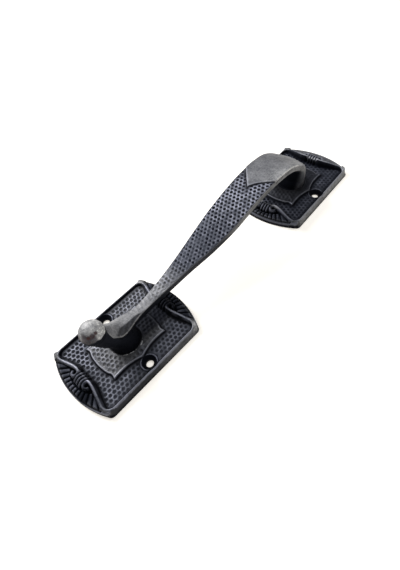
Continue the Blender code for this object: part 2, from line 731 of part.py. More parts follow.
def build():
    clear_scene()
    parts = new_collection("door_pull_handle")
    cutters = new_collection("cutters")
    iron = new_material(*IRON)
    steel = new_material(*STEEL)
    plate_mesh = evaluated_mesh(plate_pattern(cutters))
    plates = (("lower_plate", LOWER_Y, LOWER_PLATE_TURN), ("upper_plate", UPPER_Y, UPPER_PLATE_TURN))
    for name, y, turn in plates:
        soften(plate(name, plate_mesh, y, turn, parts, iron))
    soften(grip(parts, cutters, iron))
    for name, y in (("lower_screw", LOWER_Y), ("upper_screw", UPPER_Y)):
        soften(plate_screw(name, y, parts, cutters, steel))


build()
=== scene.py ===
"""Looks of a cast iron door pull: camera, light, and a finished surface for each casting."""

import math

import bpy
import numpy as np
from mathutils import Matrix, Vector
from mathutils.geometry import delaunay_2d_cdt


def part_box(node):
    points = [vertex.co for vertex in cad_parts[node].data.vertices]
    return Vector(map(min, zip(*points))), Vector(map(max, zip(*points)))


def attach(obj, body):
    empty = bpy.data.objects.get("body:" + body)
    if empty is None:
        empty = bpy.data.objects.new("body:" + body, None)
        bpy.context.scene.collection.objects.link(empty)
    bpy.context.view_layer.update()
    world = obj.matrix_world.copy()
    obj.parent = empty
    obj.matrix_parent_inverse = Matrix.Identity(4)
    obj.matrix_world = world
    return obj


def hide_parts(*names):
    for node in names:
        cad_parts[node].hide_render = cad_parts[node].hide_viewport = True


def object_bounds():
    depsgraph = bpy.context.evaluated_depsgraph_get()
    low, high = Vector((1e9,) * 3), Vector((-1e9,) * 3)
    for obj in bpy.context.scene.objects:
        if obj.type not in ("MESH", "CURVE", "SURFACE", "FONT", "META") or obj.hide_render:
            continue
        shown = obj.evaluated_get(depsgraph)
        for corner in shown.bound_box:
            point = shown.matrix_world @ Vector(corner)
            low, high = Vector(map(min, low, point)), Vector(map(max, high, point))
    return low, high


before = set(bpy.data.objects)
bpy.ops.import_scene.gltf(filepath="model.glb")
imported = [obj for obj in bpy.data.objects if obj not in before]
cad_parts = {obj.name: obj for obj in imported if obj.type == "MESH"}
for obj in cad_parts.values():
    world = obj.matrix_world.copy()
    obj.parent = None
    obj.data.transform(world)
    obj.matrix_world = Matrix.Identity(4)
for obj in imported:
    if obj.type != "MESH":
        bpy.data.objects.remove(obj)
cad_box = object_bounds()
scene = bpy.context.scene
scene.view_settings.view_transform = "Standard"

# Camera
# It stands to the lower right of the pull and looks down on it, as one does at a
# pull that lies on a table with its ball end nearest.
CAMERA_PLACE = Vector((0.1127, -0.10615, 0.1849))
CAMERA_FORWARD = Vector((-0.467, 0.352, -0.811)).normalized()
CAMERA_RIGHT = Vector((0.731, 0.670, -0.131)).normalized()
CAMERA_LENS = 22.31
CAMERA_SENSOR = 36.0
CAMERA_NEAR = 0.005

camera_up = CAMERA_RIGHT.cross(CAMERA_FORWARD).normalized()
camera_right = CAMERA_FORWARD.cross(camera_up).normalized()
camera_turn = Matrix((camera_right, camera_up, -CAMERA_FORWARD)).transposed().to_4x4()
camera = bpy.data.objects.new("camera", bpy.data.cameras.new("camera"))
camera.data.lens = CAMERA_LENS
camera.data.sensor_width = CAMERA_SENSOR
camera.data.sensor_fit = "AUTO"
camera.data.clip_start = CAMERA_NEAR
camera.matrix_world = Matrix.Translation(CAMERA_PLACE) @ camera_turn
scene.collection.objects.link(camera)
scene.camera = camera


# Table and light
# A plain white table, a large soft lamp beyond the pull's left side, a weaker one above
# its upper end and a pale room round it, which leave the castings' right sides in shade.
class Value:
    """One output in a node tree. Python's operators on it add Math nodes."""

    def __init__(self, tree, socket):
        self.tree = tree
        self.socket = socket

    def math(self, operation, *others):
        """A Math node with this value first and the others after it."""
        return self.tree.node("ShaderNodeMath", {"operation": operation}, [self, *others])

    def __add__(self, other):
        return self.math("ADD", other)

    def __sub__(self, other):
        return self.math("SUBTRACT", other)

    def __mul__(self, other):
        return self.math("MULTIPLY", other)

    def __rsub__(self, other):
        return self.tree.node("ShaderNodeMath", {"operation": "SUBTRACT"}, [other, self])

    __radd__ = __add__
    __rmul__ = __mul__

    def ramp(self, low, high):
        """0 below low, 1 above high, smooth between."""
        inputs = {"Value": self, "From Min": low, "From Max": high}
        return self.tree.node("ShaderNodeMapRange", {"interpolation_type": "SMOOTHSTEP"}, inputs)


class Finish:
    """A material's or the world's node tree, with one method that adds any node."""

    def __init__(self, owner):
        owner.use_nodes = True
        self.nodes = owner.node_tree.nodes
        self.links = owner.node_tree.links

    def feed(self, socket, value):
        """Link a value to a socket, or write a plain number or colour on it."""
        if isinstance(value, Value):
            self.links.new(value.socket, socket)
        else:
            socket.default_value = value

    def node(self, kind, settings=None, inputs=None, output=0):
        """A node of any kind: its settings first, then its sockets. Gives one of its outputs."""
        made = self.nodes.new(kind)
        for name, value in (settings or {}).items():
            setattr(made, name, value)
        pairs = inputs.items() if isinstance(inputs, dict) else enumerate(inputs or [])
        for key, value in pairs:
            self.feed(made.inputs[key], value)
        return Value(self, made.outputs[output]) if made.outputs else None

    def colour(self, share, first, second):
        """Mix two colours by share."""
        settings = {"data_type": "RGBA"}
        inputs = {0: share, 6: first, 7: second}
        return self.node("ShaderNodeMix", settings, inputs, output=2)

    def noise(self, place, scale, detail=3.0, roughness=0.6):
        """Cloudy noise from 0 to 1, with about scale clouds in a metre."""
        inputs = {"Vector": place, "Scale": scale, "Detail": detail, "Roughness": roughness}
        return self.node("ShaderNodeTexNoise", {"noise_dimensions": "3D"}, inputs)


TABLE_HALF = 3.0
TABLE_WHITE = (0.92, 0.91, 0.89, 1.0)
TABLE_GLOW = (0.48, 0.45, 0.40, 1.0)

table_mesh = bpy.data.meshes.new("table")
table_corners = [(x * TABLE_HALF, y * TABLE_HALF, 0) for x, y in ((-1, -1), (1, -1), (1, 1), (-1, 1))]
table_mesh.from_pydata(table_corners, [], [(0, 1, 2, 3)])
table = bpy.data.objects.new("table", table_mesh)
table.location.z = cad_box[0].z
scene.collection.objects.link(table)

white = bpy.data.materials.new("white_table")
finish = Finish(white)
finish.nodes.clear()
seen = finish.node("ShaderNodeLightPath", output="Is Camera Ray")
mirrored = finish.node("ShaderNodeLightPath", output="Is Glossy Ray")
lit = finish.node("ShaderNodeBsdfDiffuse", None, {"Color": TABLE_WHITE})
glow = finish.node("ShaderNodeEmission", None, {"Color": TABLE_GLOW, "Strength": 1.0})
both = finish.node("ShaderNodeAddShader", None, [lit, glow])
shown = finish.node("ShaderNodeMixShader", None, [seen.math("MAXIMUM", mirrored), lit, both])
finish.node("ShaderNodeOutputMaterial", None, {"Surface": shown})
table_mesh.materials.append(white)

ROOM_SKY = (1.0, 1.0, 1.0, 1.0)
ROOM_WALL = (0.42, 0.40, 0.38, 1.0)
ROOM_WALL_TOP = 0.75
ROOM_LIGHT = 0.42

room = bpy.data.worlds.new("room")
scene.world = room
finish = Finish(room)
finish.nodes.clear()
direction = finish.node("ShaderNodeTexCoord", output="Generated")
height = finish.node("ShaderNodeSeparateXYZ", None, [direction], output="Z")
sky = finish.colour(height.ramp(0.0, ROOM_WALL_TOP), ROOM_WALL, ROOM_SKY)
backdrop = finish.node("ShaderNodeBackground", None, {"Color": sky, "Strength": ROOM_LIGHT})
finish.node("ShaderNodeOutputWorld", None, {"Surface": backdrop})


def soft_lamp(name, place, size, power, colour):
    """A square lamp at place that faces the middle of the pull, which is the origin."""
    lamp = bpy.data.lights.new(name, "AREA")
    lamp.size = size
    lamp.energy = power
    lamp.color = colour
    stand = bpy.data.objects.new(name, lamp)
    stand.location = place
    stand.rotation_euler = (-Vector(place)).to_track_quat("-Z", "Y").to_euler()
    scene.collection.objects.link(stand)


soft_lamp("window", place=(-0.80, -0.10, 0.60), size=0.50, power=11.0, colour=(1.0, 0.99, 0.98))
soft_lamp("ceiling", place=(-0.20, 0.45, 0.85), size=0.60, power=2.5, colour=(0.97, 0.985, 1.0))


# Blackened iron
# The castings are iron, blackened and waxed. Handling has rubbed the crests and edges
# back to grey metal, dark wax stays in the hollows, and the filed sides are plain grey.
# The worn and polished greys also paint highlights, and the soot black also paints shade.
HOLLOW_BLACK = (0.005, 0.006, 0.012, 1.0)
IRON_BLUE = (0.017, 0.021, 0.035, 1.0)
IRON_GREY = (0.034, 0.039, 0.056, 1.0)
CREST_GREY = (0.22, 0.23, 0.29, 1.0)
WORN_AND_HIGHLIGHT_GREY = (0.41, 0.41, 0.415, 1.0)
POLISHED_AND_HIGHLIGHT_GREY = (0.80, 0.80, 0.78, 1.0)
SIDE_GREY = (0.048, 0.049, 0.050, 1.0)
SOOT_AND_SHADE_BLACK = (0.005, 0.006, 0.010, 1.0)
RUST_RED = (0.060, 0.022, 0.020, 1.0)
CLOUD_SCALE = 75.0
BLOTCH_SCALE = 230.0
SPECK_SCALE = 800.0
GRAIN_SCALE = 1500.0
SCRATCH_ALONG = (1.0, 0.10, 0.16)
SCRATCH_ASIDE = (0.12, 1.0, 1.0)
BUMP_DEPTH = 0.00014


def iron_finish(name):
    """Colour by the mesh's own attributes.

    relief is above 0 on crests and below 0 in hollows, rub_and_highlight is broad wear and painted
    highlights, soot_and_shade is black that nobody touches and painted shade, side marks the filed
    edges and rust the red spots. The colour goes from blue to grey iron by a slow noise, then to the
    sides' grey, the hollows' black, the crests' grey, the soot and painted shade, worn and polished
    metal with painted highlights and rust, each mixed over the last.
    """
    material = bpy.data.materials.new(name)
    finish = Finish(material)
    shader = finish.nodes["Principled BSDF"]
    place = finish.node("ShaderNodeTexCoord", output="Object")
    relief, rub_and_highlight, soot_and_shade, side, rust = (
        finish.node("ShaderNodeAttribute", {"attribute_name": mark}, output="Fac")
        for mark in ("relief", "rub_and_highlight", "soot_and_shade", "side", "rust"))
    cloud = finish.noise(place, CLOUD_SCALE, 4.0, 0.65)
    blotch = finish.noise(place, BLOTCH_SCALE, 4.0, 0.65)
    grain = finish.noise(place, GRAIN_SCALE, 3.0, 0.7)
    speck = finish.noise(place, SPECK_SCALE, 3.0, 0.6)
    along = finish.node("ShaderNodeMapping", None, {"Vector": place, "Scale": SCRATCH_ALONG})
    aside = finish.node("ShaderNodeMapping", None, {"Vector": place, "Scale": SCRATCH_ASIDE})
    scratch = finish.noise(along, 1300.0, 2.0, 0.6) + finish.noise(aside, 900.0, 2.0, 0.6) - 1.0
    body = finish.colour(cloud.ramp(0.35, 0.65), IRON_BLUE, IRON_GREY)
    body = finish.colour(side, body, SIDE_GREY)
    uneven = (grain - 0.5) * 0.5 + (speck - 0.5) * 0.4
    open_iron = (relief + uneven * 0.6).ramp(-0.55, 0.0)
    body = finish.colour(open_iron, HOLLOW_BLACK, body)
    crest = (relief + uneven * 0.7 + (blotch - 0.5) * 1.3).ramp(0.05, 0.95)
    body = finish.colour(crest, body, CREST_GREY)
    # Soot black, which also paints shade and shadows
    body = finish.colour(soot_and_shade, body, SOOT_AND_SHADE_BLACK)
    rubbed_and_lit = rub_and_highlight * (1.0 + uneven * 3.6 + (cloud - 0.5) * 0.8 + (blotch - 0.5) * 1.5 + scratch * 0.6)
    bare = rubbed_and_lit.math("MAXIMUM", 0.0).math("MINIMUM", 1.0)
    # Worn and then polished metal, which also carry the painted highlights
    body = finish.colour(bare, body, WORN_AND_HIGHLIGHT_GREY)
    body = finish.colour(rubbed_and_lit.ramp(1.05, 1.55), body, POLISHED_AND_HIGHLIGHT_GREY)
    rusty = rust * (speck * 0.5 + blotch * 0.5).ramp(0.36, 0.56)
    finish.feed(shader.inputs["Base Color"], finish.colour(rusty, body, RUST_RED))
    black = soot_and_shade.math("MAXIMUM", 1.0 - open_iron) * (1.0 - bare)
    finish.feed(shader.inputs["Roughness"], 0.47 + rub_and_highlight * 0.22 + black * 0.22 + uneven * 0.30)
    finish.feed(shader.inputs["Metallic"], 0.50 + black * 0.45)
    height = grain + blotch * 1.2 + speck * 0.9 + scratch * 0.5
    skin = {"Strength": 0.45, "Distance": BUMP_DEPTH, "Height": height}
    finish.feed(shader.inputs["Normal"], finish.node("ShaderNodeBump", None, skin))
    return material


iron = iron_finish("blackened_iron")


# Back plates
# Two like sand castings of iron, screwed to the door: a sunk and dimpled field, a raised
# boss for the post, two countersunk holes and, at both arched ends, a shell fan behind a
# ridge that curls into a scroll on each side of three bars. Sizes are in millimetres.
MM = 0.001
PLATE_HALF_WIDTH = 28.0
PLATE_HALF_SIDE = 33.5
PLATE_ARC_RISE = 7.6
PLATE_TOP = 5.0
PLATE_CORNER = 3.0
ARC_RADIUS = (PLATE_HALF_WIDTH ** 2 + PLATE_ARC_RISE ** 2) / (2 * PLATE_ARC_RISE)
ARC_CENTRE = PLATE_HALF_SIDE + PLATE_ARC_RISE - ARC_RADIUS
LEFT_CORNER = 3.9
RIGHT_CORNER = 5.6
FOOT_EDGE = 0.6
FOOT_SLOPE = 8.0
ARC_SLOPE = 13.0
FIELD_TOP = 3.0
FIELD_HALF_WIDTH = 25.6
FIELD_CORNER = 5.0
RIM_ROUND = 2.6
RIM_POWER = 1.9
RIDGE_MIDDLE = 29.8
RIDGE_BULGE = 3.9
RIDGE_CORE = 0.4
RIDGE_TOP = 7.8
RIDGE_DROP = 2.7
CURL_X = 5.7
CURL_OUT = 2.5
CURL_RADIUS = 1.6
CURL_TURN = 1.45 * math.pi
BAR_FROM = 29.1
BAR_LENGTH = 5.9
BAR_FOOT = 6.2
BAR_ARCH = 1.6
BAR_PLACES = (0.0, 2.1)
RIB_WALL_SLOPE = 4.0
FAN_POINT = PLATE_HALF_SIDE - 12.8
FAN_START = 15.0
FAN_HALF_WIDTH = 22.5
FAN_HALF_SPREAD = 62.4
FAN_FLUTES = 14
FAN_FLOOR = 3.2
FLUTE_RISE = 1.45
BOSS_RISE = 1.6
HOLE_X = 20.8
HOLE_RADIUS = 2.3
SINK_RADIUS = 4.7
SINK_FLOOR = 1.5
SINK_TOP = 3.6
LIP_RADIUS = 5.45
LIP_RISE = 0.6
POST_SEAT_RADIUS = 9.9
POST_SEAT_TOP = 4.8
BORE_RADIUS = 3.3
BOLT_HEAD_RADIUS = 6.3
BOLT_HEAD_DEPTH = 3.3
PLATE_HOLES = ((-HOLE_X, HOLE_RADIUS), (HOLE_X, HOLE_RADIUS), (0.0, BORE_RADIUS))
BACK_HOLES = ((-HOLE_X, HOLE_RADIUS), (HOLE_X, HOLE_RADIUS), (0.0, BOLT_HEAD_RADIUS))


def smooth(reach):
    """Rises from 0 to 1 with level ends: three times the square less twice the cube."""
    reach = np.clip(reach, 0.0, 1.0)
    return reach * reach * (3.0 - 2.0 * reach)


def between(start, end, share):
    """The value that lies share of the way from start to end."""
    return start + (end - start) * share


def soft_max(a, b, blend):
    """The larger of two heights, with a fillet of about blend where they cross."""
    return np.maximum(a, b) + np.maximum(blend - np.abs(a - b), 0.0) ** 2 / (4.0 * blend)


def soft_min(a, b, blend):
    """The smaller of two heights, with a rounding of about blend where they cross."""
    return -soft_max(-a, -b, blend)


def put_mesh(name, points, faces, marks):
    """A smooth iron piece from points in millimetres, faces, and marks with a value for each point."""
    mesh = bpy.data.meshes.new(name)
    mesh.from_pydata((points * MM).tolist(), [], faces)
    for mark, values in marks.items():
        attribute = mesh.attributes.new(mark, "FLOAT", "POINT")
        attribute.data.foreach_set("value", np.asarray(values, np.float32).ravel())
    mesh.shade_smooth()
    mesh.materials.append(iron)
    mesh.update()
    piece = bpy.data.objects.new(name, mesh)
    scene.collection.objects.link(piece)
    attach(piece, "root")
    return piece


def corner_middle(radius):
    """Centre of the circle that touches a plate's side and arc, and its angle about the arc's centre."""
    x = PLATE_HALF_WIDTH - radius
    y = ARC_CENTRE + np.sqrt((ARC_RADIUS - radius) ** 2 - x ** 2)
    return x, y, np.arctan2(y - ARC_CENTRE, x)


def edge_of(x):
    """Distance of the plate's end from its middle: an arc, then the round corner."""
    x = np.abs(x)
    corner_x, corner_y, tilt = corner_middle(PLATE_CORNER)
    arc = ARC_CENTRE + np.sqrt(ARC_RADIUS ** 2 - np.minimum(x, PLATE_HALF_WIDTH) ** 2)
    corner = corner_y + np.sqrt(np.maximum(PLATE_CORNER ** 2 - np.maximum(x - corner_x, 0.0) ** 2, 0.0))
    return np.where(x < corner_x + PLATE_CORNER * math.cos(tilt), arc, corner)


def graded(reach, count, fine):
    """Places from -reach to reach: even steps less an exponential from each end, finer at the ends."""
    share = np.linspace(0.0, 1.0, count)
    walk = share - (1.0 - fine) * 0.05 * (1.0 - np.exp(-share / 0.05))
    step = reach * walk / walk[-1]
    return np.concatenate([step - reach, (reach - step[:-1])[::-1]])


def rim_profile(inward):
    """Height of the rounded rim by the distance inward from the plate's side.

    It falls short of the top by a power of the share of the rounding that is left. Past the
    rounding it climbs on, so that it never cuts the forms inside.
    """
    curve = PLATE_TOP * (1.0 - np.clip(1.0 - inward / RIM_ROUND, 0.0, 1.0) ** RIM_POWER)
    return curve + np.maximum(inward - RIM_ROUND, 0.0) * 9.0


def round_corner(x, y, radius):
    """Distance inside a round corner, its share of the way from side to arc, and where it applies."""
    centre_x, centre_y, tilt = corner_middle(radius)
    inward = radius - np.hypot(x - centre_x, y - centre_y)
    share = smooth(np.arctan2(y - centre_y, x - centre_x) / tilt)
    return inward, share, (y > centre_y) & (np.arctan2(y - ARC_CENTRE, x) < tilt)


def wall_height(x, y, top_corner):
    """The lower of the rim beside the side and a steep slope beside the arc, blended round the corner."""
    across = PLATE_HALF_WIDTH - x
    beyond = np.where(y > 0.0, ARC_RADIUS - np.hypot(x, y - ARC_CENTRE), np.inf)
    inward, _, here = round_corner(x, y, PLATE_CORNER)
    foot = np.where(here, inward, np.minimum(across, beyond)) * FOOT_SLOPE
    inward, share, here = round_corner(x, y, top_corner)
    round_wall = between(rim_profile(inward), inward * ARC_SLOPE, share ** 3)
    wall = np.where(here, round_wall, np.minimum(rim_profile(across), beyond * ARC_SLOPE))
    return np.maximum(wall, np.minimum(foot, FOOT_EDGE))


def ridge_reach(x):
    """0 beside the curls, 1 near the plate's corners."""
    return smooth((x - CURL_X) / (FIELD_HALF_WIDTH - 2.0 - CURL_X))


def ridge_line(x):
    """Distance of the ridge's middle from the plate's middle: level by the curls, then bulging out."""
    return RIDGE_MIDDLE + RIDGE_BULGE * ridge_reach(x)


def field_depth_in(x, y):
    """Distance inside the sunk field's edge: the nearer of side and ridge, with a round corner."""
    a = FIELD_HALF_WIDTH - x
    b = ridge_line(x) - RIDGE_CORE - y
    corner = FIELD_CORNER - np.hypot(FIELD_CORNER - a, FIELD_CORNER - b)
    return np.where((a < FIELD_CORNER) & (b < FIELD_CORNER), corner, np.minimum(a, b))


BOSS_CORNER = (13.8, 19.5)
BOSS_CUSP = (16.0, 0.0)
BOSS_PULL = (12.1, 8.6)
BOSS_BULGE = 1.3


def boss_edge():
    """A quarter of the boss's outline: a hollow Bezier side from cusp to corner, then the bulging end."""
    t = np.linspace(0.0, 1.0, 40)[:, None]
    side = (1 - t) ** 2 * BOSS_CUSP + 2 * t * (1 - t) * np.array(BOSS_PULL) + t * t * BOSS_CORNER
    x = np.linspace(BOSS_CORNER[0], 0.0, 30)[1:]
    dip = 0.8 * np.exp(-((x - 10.6) / 2.0) ** 2)
    end = np.column_stack([x, BOSS_CORNER[1] + BOSS_BULGE * smooth(1 - x / BOSS_CORNER[0]) - dip])
    return np.vstack([side, end])


def segment_distance(x, y, line):
    """Distance from each point to each segment of a line, and how far along the segment it is nearest."""
    a, b = line[:-1], line[1:]
    px, py = x[..., None] - a[:, 0], y[..., None] - a[:, 1]
    dx, dy = (b - a).T
    along = np.clip((px * dx + py * dy) / (dx * dx + dy * dy), 0.0, 1.0)
    return np.hypot(px - along * dx, py - along * dy), along


def boss_depth_in(x, y):
    """Distance inside the boss's edge, negative outside it."""
    edge = boss_edge()
    distance = segment_distance(x, y, edge)[0].min(-1)
    angles = np.arctan2(edge[:, 1], edge[:, 0])
    reach = np.interp(np.arctan2(y, x), angles, np.hypot(edge[:, 0], edge[:, 1]))
    return np.where(np.hypot(x, y) < reach, distance, -distance)


def ridge_rows():
    """Rows of x, y, crest and half width: along the field from the corner, then round the curl."""
    x = np.linspace(FIELD_HALF_WIDTH + 0.4, CURL_X, 40)
    reach = ridge_reach(x)
    line = np.column_stack([x, ridge_line(x), RIDGE_TOP - RIDGE_DROP * reach, 1.0 + 0.5 * reach])
    share = np.linspace(0.0, 1.0, 36)
    angle = -math.pi / 2 - CURL_TURN * share
    radius = CURL_RADIUS + (CURL_OUT - CURL_RADIUS) * (1.0 - share) ** 2.5
    curl_x = CURL_X + radius * np.cos(angle)
    curl_y = RIDGE_MIDDLE + CURL_OUT + radius * np.sin(angle)
    curl = np.column_stack([curl_x, curl_y, RIDGE_TOP - 1.1 * share, 1.0 - 0.25 * share])
    return np.vstack([line, curl[1:]])


def bar_rows(x):
    """Rows of one bar between the curls, whose crest and half width rise by half a sine wave."""
    share = np.linspace(0.0, 1.0, 14)
    arch = np.sin(math.pi * share)
    y = BAR_FROM + BAR_LENGTH * share
    return np.column_stack([np.full(14, x), y, BAR_FOOT + BAR_ARCH * arch, 0.62 + 0.14 * arch])


def rod_height(x, y, rows):
    """Height of a rib that follows rows of x, y, crest and half width: half round with steep walls."""
    distance, along = segment_distance(x, y, rows[:, :2])
    crest = rows[:-1, 2] + along * np.diff(rows[:, 2])
    wide = rows[:-1, 3] + along * np.diff(rows[:, 3])
    inside = np.minimum(distance, wide * 0.96)
    dome = crest - wide + np.sqrt(wide ** 2 - inside ** 2)
    return (dome - np.maximum(distance - wide * 0.96, 0.0) * RIB_WALL_SLOPE).max(-1)


def fan_height(x, y, flute):
    """Radial flutes, round-backed with sharp valleys, which end at a level border along the arc."""
    beyond = ARC_RADIUS - np.hypot(x, y - ARC_CENTRE)
    reach = np.hypot(x, y - FAN_POINT)
    turn = np.arctan2(x, y - FAN_POINT)
    pitch = math.radians(2 * FAN_HALF_SPREAD / FAN_FLUTES)
    swell = np.abs(np.sin(math.pi * turn / pitch))
    nose = smooth((reach - FAN_START) / 1.6) * smooth((beyond - 0.7) / 1.3)
    lobe = FLUTE_RISE * np.sqrt(np.maximum(1.0 - (1.0 - swell ** 1.4) ** 2, 0.0)) * flute
    return FAN_FLOOR + lobe * nose + 0.4 * (1.0 - smooth((beyond - 0.4) / 0.9))


def dimples(x, y, pitch_x, pitch_y, radius, shift_x, shift_y):
    """Staggered round dimples: each point's share of the depth, and the middle of its nearest dimple.

    Columns stand pitch_x apart, and every other one is moved by half of pitch_y.
    """
    column = (x - shift_x) / pitch_x
    nearest = None
    for k in (np.floor(column), np.floor(column) + 1.0):
        middle_x = k * pitch_x + shift_x
        lift = shift_y + (k % 2) * pitch_y / 2
        middle_y = np.round((y - lift) / pitch_y) * pitch_y + lift
        found = (np.hypot(x - middle_x, y - middle_y), middle_x, middle_y)
        if nearest is None:
            nearest = found
        else:
            nearer = found[0] < nearest[0]
            nearest = tuple(np.where(nearer, new, old) for new, old in zip(found, nearest))
    distance, middle_x, middle_y = nearest
    return 1.0 - smooth((distance / radius - 0.45) / 0.75), middle_x, middle_y


def plate_height(x, y, flute):
    """Top surface of the plate at every point, with the distances that its forms are made by.

    The rim falls to the field and rises to the boss, the fans take the rim's place at the ends,
    the ridges and bars are laid on top, the holes are sunk, and the sides cut everything off.
    """
    ax, ay = np.abs(x), np.abs(y)
    inside = field_depth_in(ax, ay)
    height = PLATE_TOP - (PLATE_TOP - FIELD_TOP) * smooth((inside + 0.35) / 0.85)
    boss_in = boss_depth_in(ax, ay)
    border_line = smooth((boss_in - 0.7) / 0.4) - smooth((boss_in - 1.4) / 1.6)
    slope = 0.9 * smooth((boss_in - 1.0) / 5.0) - 0.18 * border_line
    boss = FIELD_TOP + BOSS_RISE * smooth((boss_in + 0.35) / 0.75) + slope
    height = np.where(boss_in > -0.5, np.maximum(height, boss), height)
    fan_in = np.minimum(FAN_HALF_WIDTH - ax, (ay - ridge_line(ax) - RIDGE_CORE) * 0.9)
    sunk = smooth((fan_in + 0.35) / 0.8)
    height = np.where(fan_in > -0.4, height + (fan_height(x, ay, flute) - PLATE_TOP) * sunk, height)
    near_end = ay > 27.0
    for rows in (ridge_rows(), *(bar_rows(place) for place in BAR_PLACES)):
        rib = rod_height(ax[near_end], ay[near_end], rows)
        height[near_end] = soft_max(height[near_end], rib, 0.35)
    hole = np.hypot(ax - HOLE_X, y)
    lip = FIELD_TOP + LIP_RISE * (smooth((LIP_RADIUS - hole) / 0.5))
    cone = SINK_FLOOR + (hole - HOLE_RADIUS) * ((SINK_TOP - SINK_FLOOR) / (SINK_RADIUS - HOLE_RADIUS))
    height = np.where(hole < 5.6, soft_max(height, lip, 0.15), height)
    height = np.where(hole < 6.0, soft_min(height, np.maximum(cone, SINK_FLOOR), 0.2), height)
    post = np.hypot(x, y)
    height = np.where(post < POST_SEAT_RADIUS, POST_SEAT_TOP, height)
    top_corner = np.where(x < 0.0, LEFT_CORNER, RIGHT_CORNER)
    height = soft_min(height, wall_height(ax, ay, top_corner), 0.45)
    return height, inside, boss_in, hole, post


def plate_dimples(x, y):
    """Depth of the field's and the boss's dimples, each whole or left out near a wall."""
    depth, cx, cy = dimples(x, y, pitch_x=2.55, pitch_y=2.87, radius=1.12, shift_x=0.9, shift_y=0.45)
    inside = field_depth_in(np.abs(cx), np.abs(cy))
    boss_in = boss_depth_in(np.abs(cx), np.abs(cy))
    hole = np.hypot(np.abs(cx) - HOLE_X, cy)
    field = depth * smooth((inside - 1.2) / 0.6) * smooth((-boss_in - 0.9) / 0.5)
    field = field * smooth((hole - 6.0) / 0.5)
    depth, cx, cy = dimples(x, y, pitch_x=2.45, pitch_y=2.8, radius=1.0, shift_x=0.3, shift_y=0.2)
    boss_in = boss_depth_in(np.abs(cx), np.abs(cy))
    post = np.hypot(cx, cy)
    boss = depth * smooth((boss_in - 1.6) / 0.5) * smooth((post - POST_SEAT_RADIUS - 1.0) / 0.5)
    return 0.50 * field, 0.42 * boss


def blurred(grid, width):
    """Box blur, three times over, along both directions of a grid, which is turned at each pass."""
    count = 2 * width + 1
    for _ in range(6):
        total = np.cumsum(np.pad(grid, ((width + 1, width), (0, 0)), mode="edge"), 0)
        grid = ((total[count:] - total[:-count]) / count).T
    return grid


def plate_grid():
    """Grid over a plate's outline, closer near its edge, without the cells in the three holes.

    Each column is stretched to the outline's reach, and the rims left round the holes are moved
    onto their circles. The border is every edge that only one quad has.
    """
    x, share = np.meshgrid(graded(PLATE_HALF_WIDTH, 116, 0.45), graded(1.0, 164, 0.30), indexing="ij")
    y = share * edge_of(x)
    inside = np.zeros(x.shape, bool)
    for centre, radius in PLATE_HOLES:
        inside |= np.hypot(x - centre, y) < radius
    rows, columns = x.shape
    index = np.arange(rows * columns).reshape(rows, columns)
    quads = np.stack([index[:-1, :-1], index[1:, :-1], index[1:, 1:], index[:-1, 1:]], -1).reshape(-1, 4)
    quads = quads[~inside.ravel()[quads].any(1)]
    edges = np.concatenate([quads[:, [k, (k + 1) % 4]] for k in range(4)])
    key = edges.min(1) * rows * columns + edges.max(1)
    _, first, count = np.unique(key, return_index=True, return_counts=True)
    border = edges[first[count == 1]]
    flat_x, flat_y = x.ravel().copy(), y.ravel().copy()
    on_border = np.unique(border)
    for centre, radius in PLATE_HOLES:
        spots = on_border[np.hypot(flat_x[on_border] - centre, flat_y[on_border]) < radius + 1.2]
        away = np.hypot(flat_x[spots] - centre, flat_y[spots])
        flat_x[spots] = centre + (flat_x[spots] - centre) * radius / away
        flat_y[spots] = flat_y[spots] * radius / away
    return flat_x.reshape(rows, columns), flat_y.reshape(rows, columns), quads, border


def leftness(x):
    """0 on the right half of a plate, 1 from 8 mm left of its middle."""
    return smooth(-x / 8.0)


def band(value, middle, half_width):
    """A soft line: 1 where value is middle, falling off as a bell curve."""
    return np.exp(-((value - middle) / half_width) ** 2)


def patch(x, y, middle, reach):
    """A soft oval spot: 1 at its middle, falling off as a bell curve each way."""
    return np.exp(-((x - middle[0]) / reach[0]) ** 2 - ((y - middle[1]) / reach[1]) ** 2)


